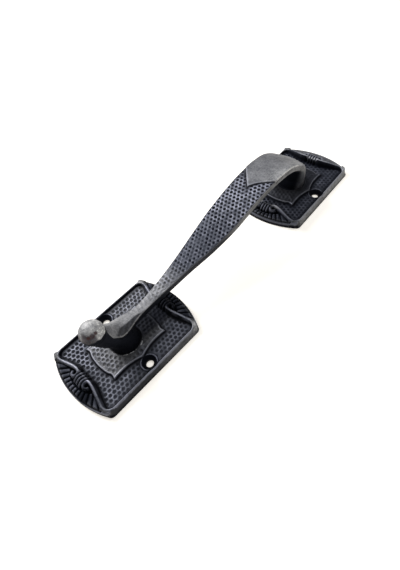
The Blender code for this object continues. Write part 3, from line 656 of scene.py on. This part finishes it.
def plate_marks(x, y, height, distances, upper):
    """Marks for the iron finish, where upper is 1 on the upper plate and 0 on the lower one.

    distances are those into the field and the boss and from the holes' and the post's middles.
    Relief is a point's height above the blurred surface. rub_and_highlight and soot_and_shade are
    sums of soft lines and patches, broken up by a few crossing waves: wear with painted highlights,
    and soot and dark hollows with painted shade and shadows.
    """
    field_in, boss_in, hole, post = distances
    lower = 1.0 - upper
    ax, ay = np.abs(x), np.abs(y)
    # The left side faces the lamp: leftness here gives painted highlights on the rim and the net
    left = leftness(x)
    net = np.clip((field_in - 0.7) / 0.5, 0.0, 1.0) * (hole > 5.4)
    wave = 0.5 + 0.25 * np.sin(x * 0.9 + 0.5) + 0.25 * np.sin(y * 0.7 + x * 0.35)
    slow = 0.5 + 0.3 * np.sin(x * 0.19 + y * 0.11 + 0.6) + 0.2 * np.sin(y * 0.27 - x * 0.13)
    # The net's crests stand out more on the left, a painted highlight on the lamp's side, and less on the
    # upper plate, painted shade
    relief = (height - blurred(height, 2)) * (2.0 + net * (1.0 + 0.8 * slow + 0.4 * left - 0.4 * upper))
    arc = ARC_RADIUS - np.hypot(x, ay - ARC_CENTRE)
    wall = np.minimum(PLATE_HALF_WIDTH - ax, arc)
    side = 1.0 - smooth((wall - 1.8) / 0.6)

    # Wear on the rim, its corners and the thin line along its inner edge, with painted highlights
    # on the left rim and on the corners that face the light
    on_rim = (1.0 - smooth((field_in + 0.4) / 0.5)) * (boss_in < -0.5) * (hole > 5.6)
    inner_line = band(field_in, -0.40, 0.30) * (ay < 34.0)
    corner = patch(ax, ay, (25.3, 33.5), (3.6, 3.4)) * on_rim * smooth((wall - 0.4) / 0.8)
    lit_corner = np.where(y > 0.0, 0.60, np.where(x < 0.0, 0.26, 0.05))
    rim = smooth((PLATE_HALF_WIDTH - ax) / 0.8) * on_rim * (ay < 31.0)
    rub_and_highlight = corner * lit_corner * (1.0 - 0.4 * upper) + rim * (0.10 * left + 0.30 * upper) + 0.16 * inner_line

    # Wear on the boss and its border line, with painted highlights on its near end and its far right
    # corner, and less of it on the upper plate, which lies in painted shade
    boss_line = band(boss_in, 0.45, 0.35) * (0.25 + 0.5 * wave)
    on_boss = (0.07 + 0.07 * smooth((4.0 - y) / 10.0)) * smooth((boss_in - 0.1) / 0.5)
    far_corner = smooth((x - 6.0) / 5.0) * smooth((y - 2.0) / 6.0) * lower
    rub_and_highlight = rub_and_highlight + on_boss * (1.0 - 0.75 * upper + 1.2 * far_corner) + (0.24 + 0.36 * far_corner) * boss_line

    # Wear on the upper plate's far fan and on the net between the dimples, with painted highlights
    # on the net's left part, on the lower boss's near end and on the lit right wall
    rub_and_highlight = rub_and_highlight + 0.17 * upper * (y > 33.0) * smooth((-field_in - 1.5) / 2.0) * smooth((arc - 0.5) / 0.8)
    rub_and_highlight = rub_and_highlight + net * (boss_in < -0.5) * (0.035 + 0.085 * left * smooth((y + 12.0) / 8.0)) * lower
    rub_and_highlight = rub_and_highlight + 0.10 * smooth((-8.5 - y + 3.0 * wave) / 3.0) * smooth((boss_in - 0.1) / 0.5) * lower
    lit_wall = between(0.16 * smooth((y + 8.0) / 35.0), 0.13, upper)
    rub_and_highlight = rub_and_highlight + lit_wall * side * (x > 24.0) * smooth((arc - 0.6) / 1.0)

    # A painted highlight: a broken bright ring round the lower post's foot, which clears the dark there
    turn = np.arctan2(y, x)
    seat_highlight = band(post - 10.5, 0.35 * np.sin(turn * 4.0), 0.17)
    seat_highlight = seat_highlight * smooth((np.sin(turn * 17.0) + 0.85) / 0.4) * smooth((turn + 1.0) / 0.4)
    seat_highlight = seat_highlight * smooth((0.85 - turn) / 0.3) * smooth((wave - 0.12) / 0.3)
    rub_and_highlight = rub_and_highlight + seat_highlight * 0.85 * lower + seat_highlight * 0.08

    # Soot and painted shade along the walls and the boss's foot, black round the post, painted shade
    # in the holes, darker fans and arc borders, painted shadows of the grip, the lower post and the
    # curl on the lower plate, and painted shade over the upper plate's field and boss
    by_wall = np.exp(-np.maximum(field_in - 0.9, 0.0) / 1.7) * (field_in > 0.0) * (boss_in < -0.3)
    by_boss = np.exp(-np.maximum(-boss_in - 0.5, 0.0) / 1.0) * (boss_in < 0.0) * (field_in > 0.0)
    by_post = np.exp(-np.maximum(post - POST_SEAT_RADIUS, 0.0) / 1.6) * 0.95
    by_hole = (hole < 4.4) * 0.93
    far_fan = 0.03 + 0.42 * smooth((11.0 - ax) / 4.0)
    fan_dark = np.where((y > 0.0) & (upper > 0.5), far_fan, 0.62)
    in_fan = (field_in < -1.0) * smooth((arc - 0.5) / 1.5) * fan_dark
    grip_shadow = smooth((x + 12.0) / 5.0) * smooth((15.0 - x - 0.25 * (y - 20.0)) / 12.0)
    grip_shadow = grip_shadow * smooth((y - 3.0) / 6.0) * 1.6
    # Less wear and highlight in the grip's painted shadow
    rub_and_highlight = rub_and_highlight * (1.0 - 0.8 * np.minimum(grip_shadow, 1.0) * (1.0 - smooth((x - 5.0) / 6.0)) * lower)
    post_shadow = patch(x, y, (9.5, -4.0), (4.2, 7.5)) * 0.75
    curl_shadow = patch(x, y, (8.5, -36.5), (3.5, 3.0))
    arc_border = np.where((y < 0.0) | (upper < 0.5), 0.55, 0.0)
    arc_border = arc_border * (1.0 - smooth((arc - 0.9) / 0.8)) * (ay > 33.0)
    soot_and_shade = (by_wall + by_boss) * (0.62 + 0.38 * wave) + by_post + by_hole + in_fan + arc_border
    soot_and_shade = soot_and_shade + (grip_shadow * (0.60 + 0.40 * wave) + post_shadow + curl_shadow) * lower
    # Painted shade of the hook over the upper plate's field, stronger on its boss
    soot_and_shade = soot_and_shade + between(0.30, 0.72, boss_in > 0.3) * upper * (field_in > -0.3)
    soot_and_shade = np.clip(soot_and_shade * (1.0 - seat_highlight * lower), 0.0, 0.97)
    return {"relief": relief, "side": side, "rub_and_highlight": np.maximum(rub_and_highlight, 0.0), "soot_and_shade": soot_and_shade}


def plate_casting(upper):
    """Points, quads, border and marks of one plate's top about its own post.

    The height is that of the forms above less the dimples. On the upper plate the far fan and
    the boss's dimples are worn shallow.
    """
    x, y, quads, border = plate_grid()
    flute = np.where(y > 0.0, 1.0 - 0.75 * upper, 1.0)
    height, *distances = plate_height(x, y, flute)
    field_pits, boss_pits = plate_dimples(x, y)
    height = height - field_pits * (0.62 + 0.28 * leftness(x)) - boss_pits * (1.0 - 0.5 * upper)
    height = np.maximum(height, 0.0)
    top = np.column_stack([x.ravel(), y.ravel(), height.ravel()])
    return top, quads, border, plate_marks(x, y, height, distances, upper)


def close_plate(top, quads, rim):
    """Add the hole walls, the bolt head's countersink and the flat back to a plate's top.

    Each hole's rim is repeated down to the back. The back is a triangulation between the
    outline and the last rings, without the triangles that lie wholly on one hole's ring.
    """
    points = [top]
    faces = [quads.tolist()]
    total = len(top)
    in_bore = np.hypot(top[rim, 0], top[rim, 1]).max(1) < BORE_RADIUS + 0.1
    in_hole = np.hypot(np.abs(top[rim, 0]) - HOLE_X, top[rim, 1]).max(1) < HOLE_RADIUS + 0.1
    bore_steps = ((BOLT_HEAD_DEPTH, BORE_RADIUS), (0.0, BOLT_HEAD_RADIUS))
    back_loop = {}
    for chosen, middle, steps in ((in_bore, 0.0, bore_steps), (in_hole, HOLE_X, ((0.0, HOLE_RADIUS),))):
        edges = rim[chosen]
        spots = np.unique(edges)
        centre = np.sign(top[spots, 0]) * middle
        away = np.column_stack([top[spots, 0] - centre, top[spots, 1]])
        away /= np.linalg.norm(away, axis=1)[:, None]
        above = {spot: spot for spot in spots.tolist()}
        for z, wide in steps:
            ring = np.column_stack([centre + away[:, 0] * wide, away[:, 1] * wide, np.full(len(spots), z)])
            below = {spot: total + i for i, spot in enumerate(spots.tolist())}
            faces.append([(above[b], above[a], below[a], below[b]) for a, b in edges.tolist()])
            points.append(ring)
            total += len(ring)
            above = below
        back_loop.update(above)
    for spot in np.unique(rim[~in_bore & ~in_hole]).tolist():
        back_loop[spot] = spot
    every = np.vstack(points)
    spots = sorted(back_loop)
    order = {spot: i for i, spot in enumerate(spots)}
    flat = [Vector(every[back_loop[spot], :2]) for spot in spots]
    borders = [(order[a], order[b]) for a, b in rim.tolist()]
    corners, _, triangles, sources, _, _ = delaunay_2d_cdt(flat, borders, [], 1, 0.0001)
    back = []
    for triangle in triangles:
        off_ring = [max(abs(math.hypot(corners[i].x - centre, corners[i].y) - wide) for i in triangle)
                    for centre, wide in BACK_HOLES]
        if min(off_ring) > 0.01:
            origin = [back_loop[spots[sources[i][0]]] for i in triangle]
            a, b, c = (every[i, :2] for i in origin[:3])
            turn = (b[0] - a[0]) * (c[1] - a[1]) - (b[1] - a[1]) * (c[0] - a[0])
            back.append(tuple(origin) if turn < 0 else tuple(reversed(origin)))
    faces.append(back)
    return every, [face for group in faces for face in group]


PLATE_TURNS = {"lower_plate": -0.8, "upper_plate": 2.1}
for node, degrees in PLATE_TURNS.items():
    top, quads, border, marks = plate_casting(float(node == "upper_plate"))
    casting, faces = close_plate(top, quads, border)
    extra = np.zeros(len(casting) - len(top))
    marks = {name: np.append(values, extra) for name, values in marks.items()}
    low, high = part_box(node)
    centre = (low + high) / 2 / MM
    turn = math.radians(degrees)
    spun = casting.copy()
    spun[:, 0] = centre.x + casting[:, 0] * math.cos(turn) - casting[:, 1] * math.sin(turn)
    spun[:, 1] = centre.y + casting[:, 0] * math.sin(turn) + casting[:, 1] * math.cos(turn)
    plate = put_mesh(node + "_casting", spun, faces, marks)
    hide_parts(node)


# Grip
# One iron casting: a leaf-shaped foot under the thumb, a flat strap that widens as it
# rises, and a hook that folds over and runs into the upper post. A smooth cap covers the
# hook down to an ogee point, and the strap below it is punched with staggered pits.
POST_Y = 83.5
WAIST_Y = -POST_Y + 18.0
HOOK_Y = POST_Y - 33.0
GRIP_TOP = 37.2
GRIP_WIDTH = 24.8
WAIST_TOP = 18.2
WAIST_WIDTH = 6.2
STRAP_THICK = 5.5
STRAP_SIDE = 4.3
STRAP_CROWN = 0.3
POST_RADIUS = 9.6
POST_CROWN = 2.4
FOOT_TOP = 5.1
LEAF_TIP_Y = -POST_Y - 4.0
CAP_TIP_Y = POST_Y - 50.0

# From the waist to the leaf's tip, with the tip first: share of the way, the rise, the widening,
# the thickening, the crown, and how round the section is
LEAF_SHAPE = ((1.08, 1.16, 0.50, 1.00, 0.95, 0.40), (1.00, 1.00, 0.62, 1.00, 1.00, 0.40),
              (0.89, 0.74, 0.82, 0.75, 1.00, 0.25), (0.75, 0.43, 1.00, 0.45, 0.79, 0.05),
              (0.59, 0.20, 0.74, 0.25, 0.32, 0.00), (0.34, 0.06, 0.24, 0.05, 0.06, 0.00))
LEAF_ROOT = 2.3
LEAF_RISE, LEAF_WIDTH, LEAF_THICK, LEAF_CROWN = 9.5, 13.0, 7.5, 5.0

# From the waist to the top of the hook: share of the way, the rise and the widening
STRAP_SHAPE = ((0.00, 0.00, 0.000), (0.14, 0.10, 0.120), (0.30, 0.25, 0.350), (0.46, 0.41, 0.670),
               (0.61, 0.61, 0.885), (0.75, 0.82, 0.945), (0.88, 0.96, 0.980), (1.00, 1.00, 1.000))

# From there down to the upper post's foot: the same six shares as the leaf's, for the drop and
# the narrowing
HOOK_SHAPE = ((0.270, 0.031, 0.00, 0.00, 0.05, 0.00), (0.458, 0.112, 0.00, 0.00, 0.14, 0.05),
              (0.638, 0.237, 0.09, 0.08, 0.33, 0.15), (0.793, 0.389, 0.22, 0.36, 0.62, 0.45),
              (0.911, 0.607, 0.53, 0.64, 0.90, 0.80), (0.979, 0.835, 0.86, 0.93, 1.00, 1.00),
              (1.000, 1.000, 1.00, 1.00, 1.00, 1.00))


def grip_stations():
    """Rows of y, top z, width, thickness, crown and roundness, from the leaf to the upper post's foot.

    Each value lies the given share of the way between those of two places on the grip.
    """
    waist = np.array((WAIST_Y, WAIST_TOP, WAIST_WIDTH, STRAP_THICK, STRAP_CROWN, 0.0))
    leaf = (LEAF_TIP_Y, WAIST_TOP + LEAF_RISE, LEAF_WIDTH, LEAF_THICK, LEAF_CROWN, 1.0)
    hook = np.array((HOOK_Y, GRIP_TOP, GRIP_WIDTH, STRAP_THICK, STRAP_CROWN, 0.0))
    post = np.array((POST_Y + POST_RADIUS, FOOT_TOP, 2 * POST_RADIUS, 2 * POST_RADIUS, POST_CROWN, 1.0))
    below = post - (0.0, 1.0, 0.0, 0.0, 0.0, 0.0)
    strap_shape = np.pad(STRAP_SHAPE, ((0, 0), (0, 3)))
    return np.vstack([between(waist, leaf, LEAF_SHAPE), between(waist, hook, strap_shape),
                      between(hook, post, HOOK_SHAPE), below])


def even_rows(stations, count, last_z=None):
    """Catmull-Rom curve through the stations, read at even steps of its length, and those lengths.

    The length is measured in the first two columns. With last_z it ends where z falls to that.
    """
    padded = np.vstack([2 * stations[0] - stations[1], stations, 2 * stations[-1] - stations[-2]])
    a, b, c, d = (padded[i:len(padded) - 3 + i, None] for i in range(4))
    t = np.linspace(0.0, 1.0, 24, endpoint=False)[None, :, None]
    squares, cubes = 2 * a - 5 * b + 4 * c - d, 3 * b - a - 3 * c + d
    curve = 0.5 * (2 * b + (c - a) * t + squares * t ** 2 + cubes * t ** 3)
    curve = np.vstack([curve.reshape(-1, stations.shape[1]), stations[-1]])
    length = np.append(0.0, np.cumsum(np.linalg.norm(np.diff(curve[:, :2], axis=0), axis=1)))
    end = length[-1]
    if last_z is not None:
        end = np.interp(-last_z, -curve[len(curve) // 2:, 1], length[len(curve) // 2:])
    along = np.linspace(0.0, end, count)
    return np.column_stack([np.interp(along, length, column) for column in curve.T]), along


def line_directions(rows):
    """Unit direction of the line through the rows' first two columns, at each row."""
    along = np.gradient(rows[:, :2], axis=0)
    return along / np.linalg.norm(along, axis=1)[:, None]


def ring_surface(rows, along, x, out):
    """Rings square to a line of rows: their points, x across it and out from it, and the quads between.

    Also gives the points' numbers ring by ring.
    """
    y = rows[:, 0, None] - along[:, 1, None] * out
    z = rows[:, 1, None] + along[:, 0, None] * out
    index = np.arange(x.size).reshape(x.shape)
    after = np.roll(index, -1, 1)
    quads = np.stack([index[:-1], after[:-1], after[1:], index[1:]], -1).reshape(-1, 4)
    return np.stack([x, y, z], -1).reshape(-1, 3), quads.tolist(), index


def scatter(i, j):
    """A fixed, uneven number from 0 to 1 for each pair of numbers: a large sine less its whole part."""
    value = np.sin(i * 12.9898 + j * 78.233) * 43758.5453
    return value - np.floor(value)


PIT_ROW = 2.49
PIT_ROW_START = 119.15
PIT_MIDDLE_X = 0.5
PIT_DEPTH = 0.72
CAP_TIP = 124.8
CAP_RISE = 0.5
TOP_SHARES = np.linspace(-1.0, 1.0, 96)[None]


def strap_pits(x, s):
    """Depth of the strap's staggered pits: rows across it, each half a pitch beside the next.

    A pit is between a circle and a diamond. Wear has left the lower ones shallower and uneven.
    """
    pitch = 2.45 + 0.37 * smooth((s - 55.0) / 50.0)
    depth = np.zeros(x.shape)
    row = (s - PIT_ROW_START) / PIT_ROW
    for number in (np.floor(row), np.floor(row) + 1.0):
        shift = 0.5 * (number % 2)
        column = np.round((x - PIT_MIDDLE_X) / pitch - shift) + shift
        dx = np.abs(x - PIT_MIDDLE_X - column * pitch)
        dy = np.abs(row - number) * PIT_ROW
        away = (dx ** 1.6 + dy ** 1.6) ** (1 / 1.6)
        size = 0.92 + 0.24 * scatter(number, column * 2.0)
        share = 1.0 - smooth((away / size - 0.32) / 0.90)
        place = number * PIT_ROW + PIT_ROW_START
        worn = smooth((place - 76.0) / 34.0)
        luck = scatter(number + 7.0, column * 2.0 + 3.0)
        deep = (0.22 + 0.78 * luck) * (0.50 + 0.50 * worn)
        in_strap = smooth((place - 25.0) / 18.0)
        depth = np.maximum(depth, share * deep * in_strap)
    return PIT_DEPTH * depth


def cap_edge(x):
    """Distance along the strap of the cap's edge: powers of the share across, straighter on the left."""
    across = np.abs(x) / (GRIP_WIDTH / 2)
    return CAP_TIP + np.where(x < 0.0, 14.0 * across ** 1.02, 12.6 * across ** 0.74)


def hewn_surface(x, s):
    """Hand-finished unevenness: a sum of slow crossing waves, and short ripples above the leaf."""
    wave = np.sin(x * 0.9 + s * 0.31 + 1.0) + np.sin(x * 0.47 - s * 0.52)
    wave = wave + np.sin(x * 1.7 + s * 0.83 + 2.0) * 0.5
    ripple = 0.07 * np.sin(s * 2.1 + np.sin(x * 0.8) * 1.5) * smooth((s - 18.0) / 8.0)
    return wave * 0.028 + ripple * (1.0 - smooth((s - 48.0) / 12.0))


def leaf_facet(x, half, s):
    """Distance past the slanting line along which the leaf's right border is filed down."""
    arris = half * (0.36 + 0.64 * smooth((s - 18.0) / 8.0))
    return np.maximum(x - arris, 0.0) * (s < 26.0) * smooth((s - 3.0) / 9.0)


def strap_rings(width, thick, crown, roundness):
    """The section's ring at each row: how far across it, and how far out from its top line.

    The top drops by the crown times the square of the share across, the sides are straight and
    the belly is a flattened half ellipse. Roundness draws each point onto the ellipse of the same
    width and thickness, and three passes of a 1-2-1 mean soften the arrises.
    """
    half = width / 2
    top_x, top_out = half * TOP_SHARES, -crown * TOP_SHARES * TOP_SHARES
    side_end = np.minimum(crown + STRAP_SIDE, thick * 0.84)
    angle = np.linspace(0.0, math.pi, 34)[None]
    flat = np.abs(np.cos(angle)) ** 0.6 * np.sign(np.cos(angle))
    belly_x = half * flat * 0.97
    belly_out = -side_end - (thick - side_end) * np.sin(angle) ** 0.8
    down = np.linspace(0.0, 1.0, 7)[None, 1:-1]
    right_x, right_out = half * (1 - 0.03 * down), between(-crown, -side_end, down)
    across = np.hstack([top_x, right_x, belly_x, -right_x[:, ::-1]])
    out = np.hstack([top_out, right_out, belly_out, right_out[:, ::-1]])
    reach = np.hypot(across / half, (out + thick / 2) / (thick / 2))
    across = between(across, across / reach, roundness)
    out = between(out, (out + thick / 2) / reach - thick / 2, roundness)
    ring = np.stack([across, out])
    for _ in range(3):
        ring = (np.roll(ring, 1, 2) + 2 * ring + np.roll(ring, -1, 2)) / 4
    return ring


def strap_casting():
    """Points, faces and marks of the leaf, strap, hook and upper post.

    Each row's ring stands square to the line of the rows. Its top is raised by the cap and the
    hand's unevenness and sunk by the pits, the groove beside the cap and the leaf's facet.
    """
    rows, s = even_rows(grip_stations(), 668, FOOT_TOP)
    along = line_directions(rows)
    width, thick, crown = rows[:, 2, None], rows[:, 3, None], rows[:, 4, None]
    roundness = np.clip(rows[:, 5, None], 0.0, 1.0)
    half = width / 2
    across, out = strap_rings(width, thick, crown, roundness)
    place = np.broadcast_to(s[:, None] - LEAF_ROOT, across.shape)
    on_top = TOP_SHARES.shape[1]
    top = np.arange(across.shape[1]) < on_top
    face = np.zeros(across.shape)
    face[:, :on_top] = smooth((1.0 - np.abs(TOP_SHARES)) * half / 0.9)
    beyond = place - cap_edge(across)
    in_cap = smooth((beyond + 0.12) / 0.34) * np.maximum(1.0 - 2.2 * roundness, 0.0)
    groove = band(beyond, -0.35, 0.30) * (place > CAP_TIP - 3.0)
    pits = strap_pits(across, place) * (1.0 - smooth((beyond + 1.1) / 0.5))
    pits = pits * smooth((half - np.abs(across)) / 0.8)
    hewn = hewn_surface(across, place)
    rise = np.where(top, CAP_RISE * in_cap - 0.28 * groove * face - pits * face + hewn * face, 0.0)
    facet = leaf_facet(across, half, place)
    lift = out + rise - 0.26 * facet * (1.0 - smooth((-out - crown - 1.0) / 2.5))
    points, quads, index = ring_surface(rows, along, across, lift)

    # Crests and hollows, and the filed sides down to where the belly turns under
    upper = smooth((place - 85.0) / 30.0)
    relief = (rise - blurred(rise, 2)) * (4.0 + 3.0 * upper) * (1.0 - 0.75 * band(beyond, 0.0, 1.0))
    face_depth = between(0.2, 3.6, smooth((place - 80.0) / 22.0))
    under = np.where(top, 0.0, smooth((-(out + crown) - face_depth) / 1.0))
    side = np.where(top, 0.0, 1.0) * (1.0 - under)

    # Painted shade under the strap and on the lower strap's sides, a painted shadow below the cap's
    # left edge, darker on the leaf's facet and black in the pits
    in_hook = smooth((place - 128.0) / 12.0)
    low_side = 1.0 - smooth((place - 70.0) / 30.0)
    mottle = 0.75 + 0.25 * np.sin(place * 1.7 + across * 2.0)
    on_face = band(beyond, -1.6, 1.5) * (across < 2.0) * 0.55 + 0.92 * smooth(facet / 0.8) * mottle
    on_face = on_face + between(0.5, 0.9, upper) * smooth((pits * face - 0.14) / 0.26)
    soot_and_shade = np.where(top, on_face, np.maximum(under * between(0.75, 1.0, in_hook), low_side * 0.80))
    # The hook's lit right side: painted light that takes the black away and adds highlight
    lit = smooth((across / half - 0.30) / 0.50) * smooth((out / thick + 0.92) / 0.30)
    lit = lit * smooth((place - 148.0) / 12.0)
    soot_and_shade = soot_and_shade * (1.0 - 0.92 * lit)

    # Wear along the edges, on the cap, the leaf and the lower strap, with a painted reflection on the
    # leaf and lower strap and painted highlights on the right arris, across the cap and on the hook's lit
    # side
    edge = 1.0 - smooth(np.abs(half - np.abs(across)) / (0.40 + 0.25 * in_cap))
    edge = edge * np.where(out > -crown - 0.5, 1.0, 0.0)
    leaf = 1.0 - smooth((place - 14.0) / 32.0)
    low = 1.0 - smooth((place - 38.0) / 25.0)
    # The edges' bright line is a painted highlight as well as wear, strongest on the upper right arris
    thin_line = np.where(across < 0.0, 0.34, 0.14) + upper * np.where(across > 0.0, 0.85, 0.50)
    thin_line = smooth((place - 4.0) / 6.0) * (thin_line + 0.45 * in_cap)
    rub_and_highlight = edge * thin_line
    rub_and_highlight = rub_and_highlight + np.where(top, 0.31 * in_cap + 0.18 * leaf + 0.28 * low, 0.20 * upper * side + 0.19 * lit)
    # A painted highlight across the cap that grows to the right, with painted shade near its lower edge
    glint = 0.36 * smooth((across / half + 0.1) / 1.1) ** 1.7 - 0.08 * smooth((12.0 - beyond) / 14.0)
    rub_and_highlight = rub_and_highlight + np.where(top, glint * in_cap, 0.16 * in_hook * side)
    unfiled = 1.0 - 0.75 * smooth(facet / 0.6) * (half - across > 0.5)
    rub_and_highlight = (rub_and_highlight + np.where(top, 0.03 * upper, 0.0)) * unfiled

    ends = [index[0][::-1].tolist(), index[-1].tolist()]
    marks = {"relief": relief, "side": side, "rub_and_highlight": rub_and_highlight, "soot_and_shade": np.clip(soot_and_shade, 0.0, 1.0)}
    return points, quads + ends, marks


strap = put_mesh("grip_strap", *strap_casting())
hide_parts("grip")


# Lower post and ball
# Cast with the grip: a round foot under the leaf that narrows, leans out past the
# leaf's tip and ends in a ball, which hands have polished bare.
STALK_LEAN = 12.0
BALL_RADIUS = 6.9
BALL_TOP = GRIP_TOP + 1.3
BALL_Z = BALL_TOP - BALL_RADIUS
NECK_RADIUS = 6.5
STALK_SHAPE = ((0.00, 0.00, POST_RADIUS), (0.02, 0.13, POST_RADIUS * 0.93), (0.14, 0.28, POST_RADIUS * 0.83),
               (0.38, 0.44, NECK_RADIUS * 1.07), (0.62, 0.59, NECK_RADIUS), (0.81, 0.77, NECK_RADIUS * 0.98),
               (0.97, 0.96, NECK_RADIUS))
POINTS_ROUND = 120
DINT_WAY = (0.04, -0.332, 0.943)
DINT_SIZE = 0.09
DINT_DEPTH = 0.35
BARE_WAY = (-0.07, 0.06, 1.0)
# Directions from the ball's middle of its painted highlight and of its dark patch
HIGHLIGHT_WAY = (0.731, 0.670, -0.131)
DARK_PATCH_WAY = (0.60, -0.62, 0.30)
RUST_SPOTS = (((0.751, -0.225, 0.62), 0.24), ((0.646, -0.497, 0.58), 0.24), ((0.736, 0.097, 0.67), 0.16))


def stalk_stations():
    """Rows of y, z and radius up the lower post to the ball, by shares of its lean and its rise."""
    return np.array([(-POST_Y - STALK_LEAN * lean, between(FOOT_TOP, BALL_Z, rise), radius)
                     for lean, rise, radius in STALK_SHAPE])


def ball_marks(points, middle):
    """Points with the dint pressed in, and their marks by the unit direction from the ball's middle.

    Each spot fades with the distance of a point's direction from the spot's own. The ball is
    bare above a wavy level line, with a painted highlight towards one side, painted shade on its
    lower part and a darker patch towards one way.
    """
    away = points - middle
    reach = np.linalg.norm(away, axis=1)
    way = away / reach[:, None]
    on_ball = (reach < BALL_RADIUS + 0.4).astype(float)
    wave = 0.05 * np.sin(way[:, 0] * 6.0 + way[:, 1] * 4.0) + 0.03 * np.sin(way[:, 1] * 13.0)
    bare = smooth((way @ np.array(BARE_WAY) + 0.02 + wave) / 0.07) * on_ball
    rust = np.zeros(len(points))
    for spot, size in RUST_SPOTS:
        spot = np.array(spot) / np.linalg.norm(spot)
        rust = np.maximum(rust, 1.0 - smooth((np.linalg.norm(way - spot, axis=1) / size - 0.4) / 0.8))
    # A darker patch towards one way of the ball
    dark_patch = np.array(DARK_PATCH_WAY) / np.linalg.norm(DARK_PATCH_WAY)
    stain = 1.0 - smooth((np.linalg.norm(way - dark_patch, axis=1) + wave * 2.0 - 0.36) / 0.42)
    # A painted highlight grows towards one side of the ball
    toward_highlight = way @ np.array(HIGHLIGHT_WAY)
    # Painted shade on the ball's lower part, away from the highlight; it joins the dark patch below
    low = smooth((0.55 + wave * 2.0 - way[:, 2]) / 0.35) * smooth((0.75 - toward_highlight) / 0.45)
    stain = np.maximum(stain, 0.85 * low)
    dint = (1.0 - smooth(np.linalg.norm(way - np.array(DINT_WAY), axis=1) / DINT_SIZE)) * on_ball
    points = points - way * (DINT_DEPTH * dint)[:, None]
    neck_black = 0.93 - 0.10 * smooth((points[:, 2] - 13.0) / 8.0) * (1.0 - on_ball)
    marks = {"relief": -0.9 * dint,
             "rub_and_highlight": (0.91 + 0.42 * toward_highlight) * bare * (1.0 - 0.82 * stain) * (1.0 - 0.5 * rust),
             "soot_and_shade": np.maximum((1.0 - bare) * neck_black, 0.90 * low * on_ball),
             "rust": np.maximum(rust, 0.35 * stain) * bare}
    return points, marks


def stalk_casting():
    """Points, faces and marks of the lower post and its ball.

    Rings stand square to the post's line, and the ball's own rings follow up to its pole. The
    side towards the leaf is flattened by up to a fifth between the foot and the ball.
    """
    rows, _ = even_rows(stalk_stations(), 110)
    along = line_directions(rows)
    centre = np.array((-POST_Y - STALK_LEAN, BALL_Z))
    ahead = along[-1]
    start = math.asin(min(rows[-1, 2] / BALL_RADIUS, 1.0))
    keep = (rows[:, :2] - centre) @ ahead < -BALL_RADIUS * math.cos(start)
    polar = np.linspace(math.pi - start, 0.0, 90)[1:-1]
    ball_rows = np.column_stack([centre + ahead * (BALL_RADIUS * np.cos(polar))[:, None],
                                 BALL_RADIUS * np.sin(polar)])
    rows = np.vstack([rows[keep][:, :3], ball_rows])
    along = np.vstack([along[keep], np.repeat(ahead[None], len(ball_rows), 0)])
    turn = np.linspace(0.0, 2 * math.pi, POINTS_ROUND, endpoint=False)[None]
    flat = 1.0 - 0.22 * smooth(((rows[:, :2] - centre) @ ahead + BALL_RADIUS * math.cos(start)) / -4.0)
    flat = between(1.0, flat, smooth((rows[:, 1] - FOOT_TOP - 4.0) / 8.0))[:, None]
    flat = np.where(np.sin(turn) > 0.0, flat, 1.0)
    out = rows[:, 2, None] * np.sin(turn) * flat
    x = rows[:, 2, None] * np.cos(turn) * between(1.0, flat, np.sin(turn) ** 2)
    points, quads, index = ring_surface(rows, along, x, -out)
    pole = (0.0, *(centre + ahead * BALL_RADIUS))
    cap = np.stack([index[-1], np.roll(index[-1], -1), np.full(POINTS_ROUND, index.size)], -1)
    points, marks = ball_marks(np.vstack([points, pole]), np.array((0.0, *centre)))
    return points, quads + cap.tolist() + [index[0][::-1].tolist()], marks


stalk = put_mesh("grip_ball", *stalk_casting())
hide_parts("grip")


# Bolts
# Steel flat-head machine screws with slotted heads that hold the grip's posts from behind the
# plates, mottled with oil stains and marked with fine lathe lines.
SCREW_STEEL = (0.42, 0.41, 0.39, 1.0)
SCREW_OIL = (0.16, 0.15, 0.14, 1.0)
STAIN_SCALE = 700.0
LATHE_SCALE = 2400.0
LATHE_DEPTH = 0.0001

steel = bpy.data.materials.new("screw_steel")
finish = Finish(steel)
shader = finish.nodes["Principled BSDF"]
place = finish.node("ShaderNodeTexCoord", output="Object")
stain = finish.noise(place, STAIN_SCALE)
lathe = finish.node("ShaderNodeTexWave", {"wave_type": "BANDS", "bands_direction": "Z"},
                    {"Vector": place, "Scale": LATHE_SCALE, "Distortion": 1.5}, output="Fac")
finish.feed(shader.inputs["Base Color"], finish.colour(stain.ramp(0.35, 0.7), SCREW_OIL, SCREW_STEEL))
finish.feed(shader.inputs["Roughness"], 0.38 + stain * 0.2)
finish.feed(shader.inputs["Metallic"], 1.0)
skin = {"Strength": 0.2, "Distance": LATHE_DEPTH, "Height": lathe + stain}
finish.feed(shader.inputs["Normal"], finish.node("ShaderNodeBump", None, skin))
for node in ("lower_screw", "upper_screw"):
    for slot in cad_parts[node].material_slots:
        slot.material = steel
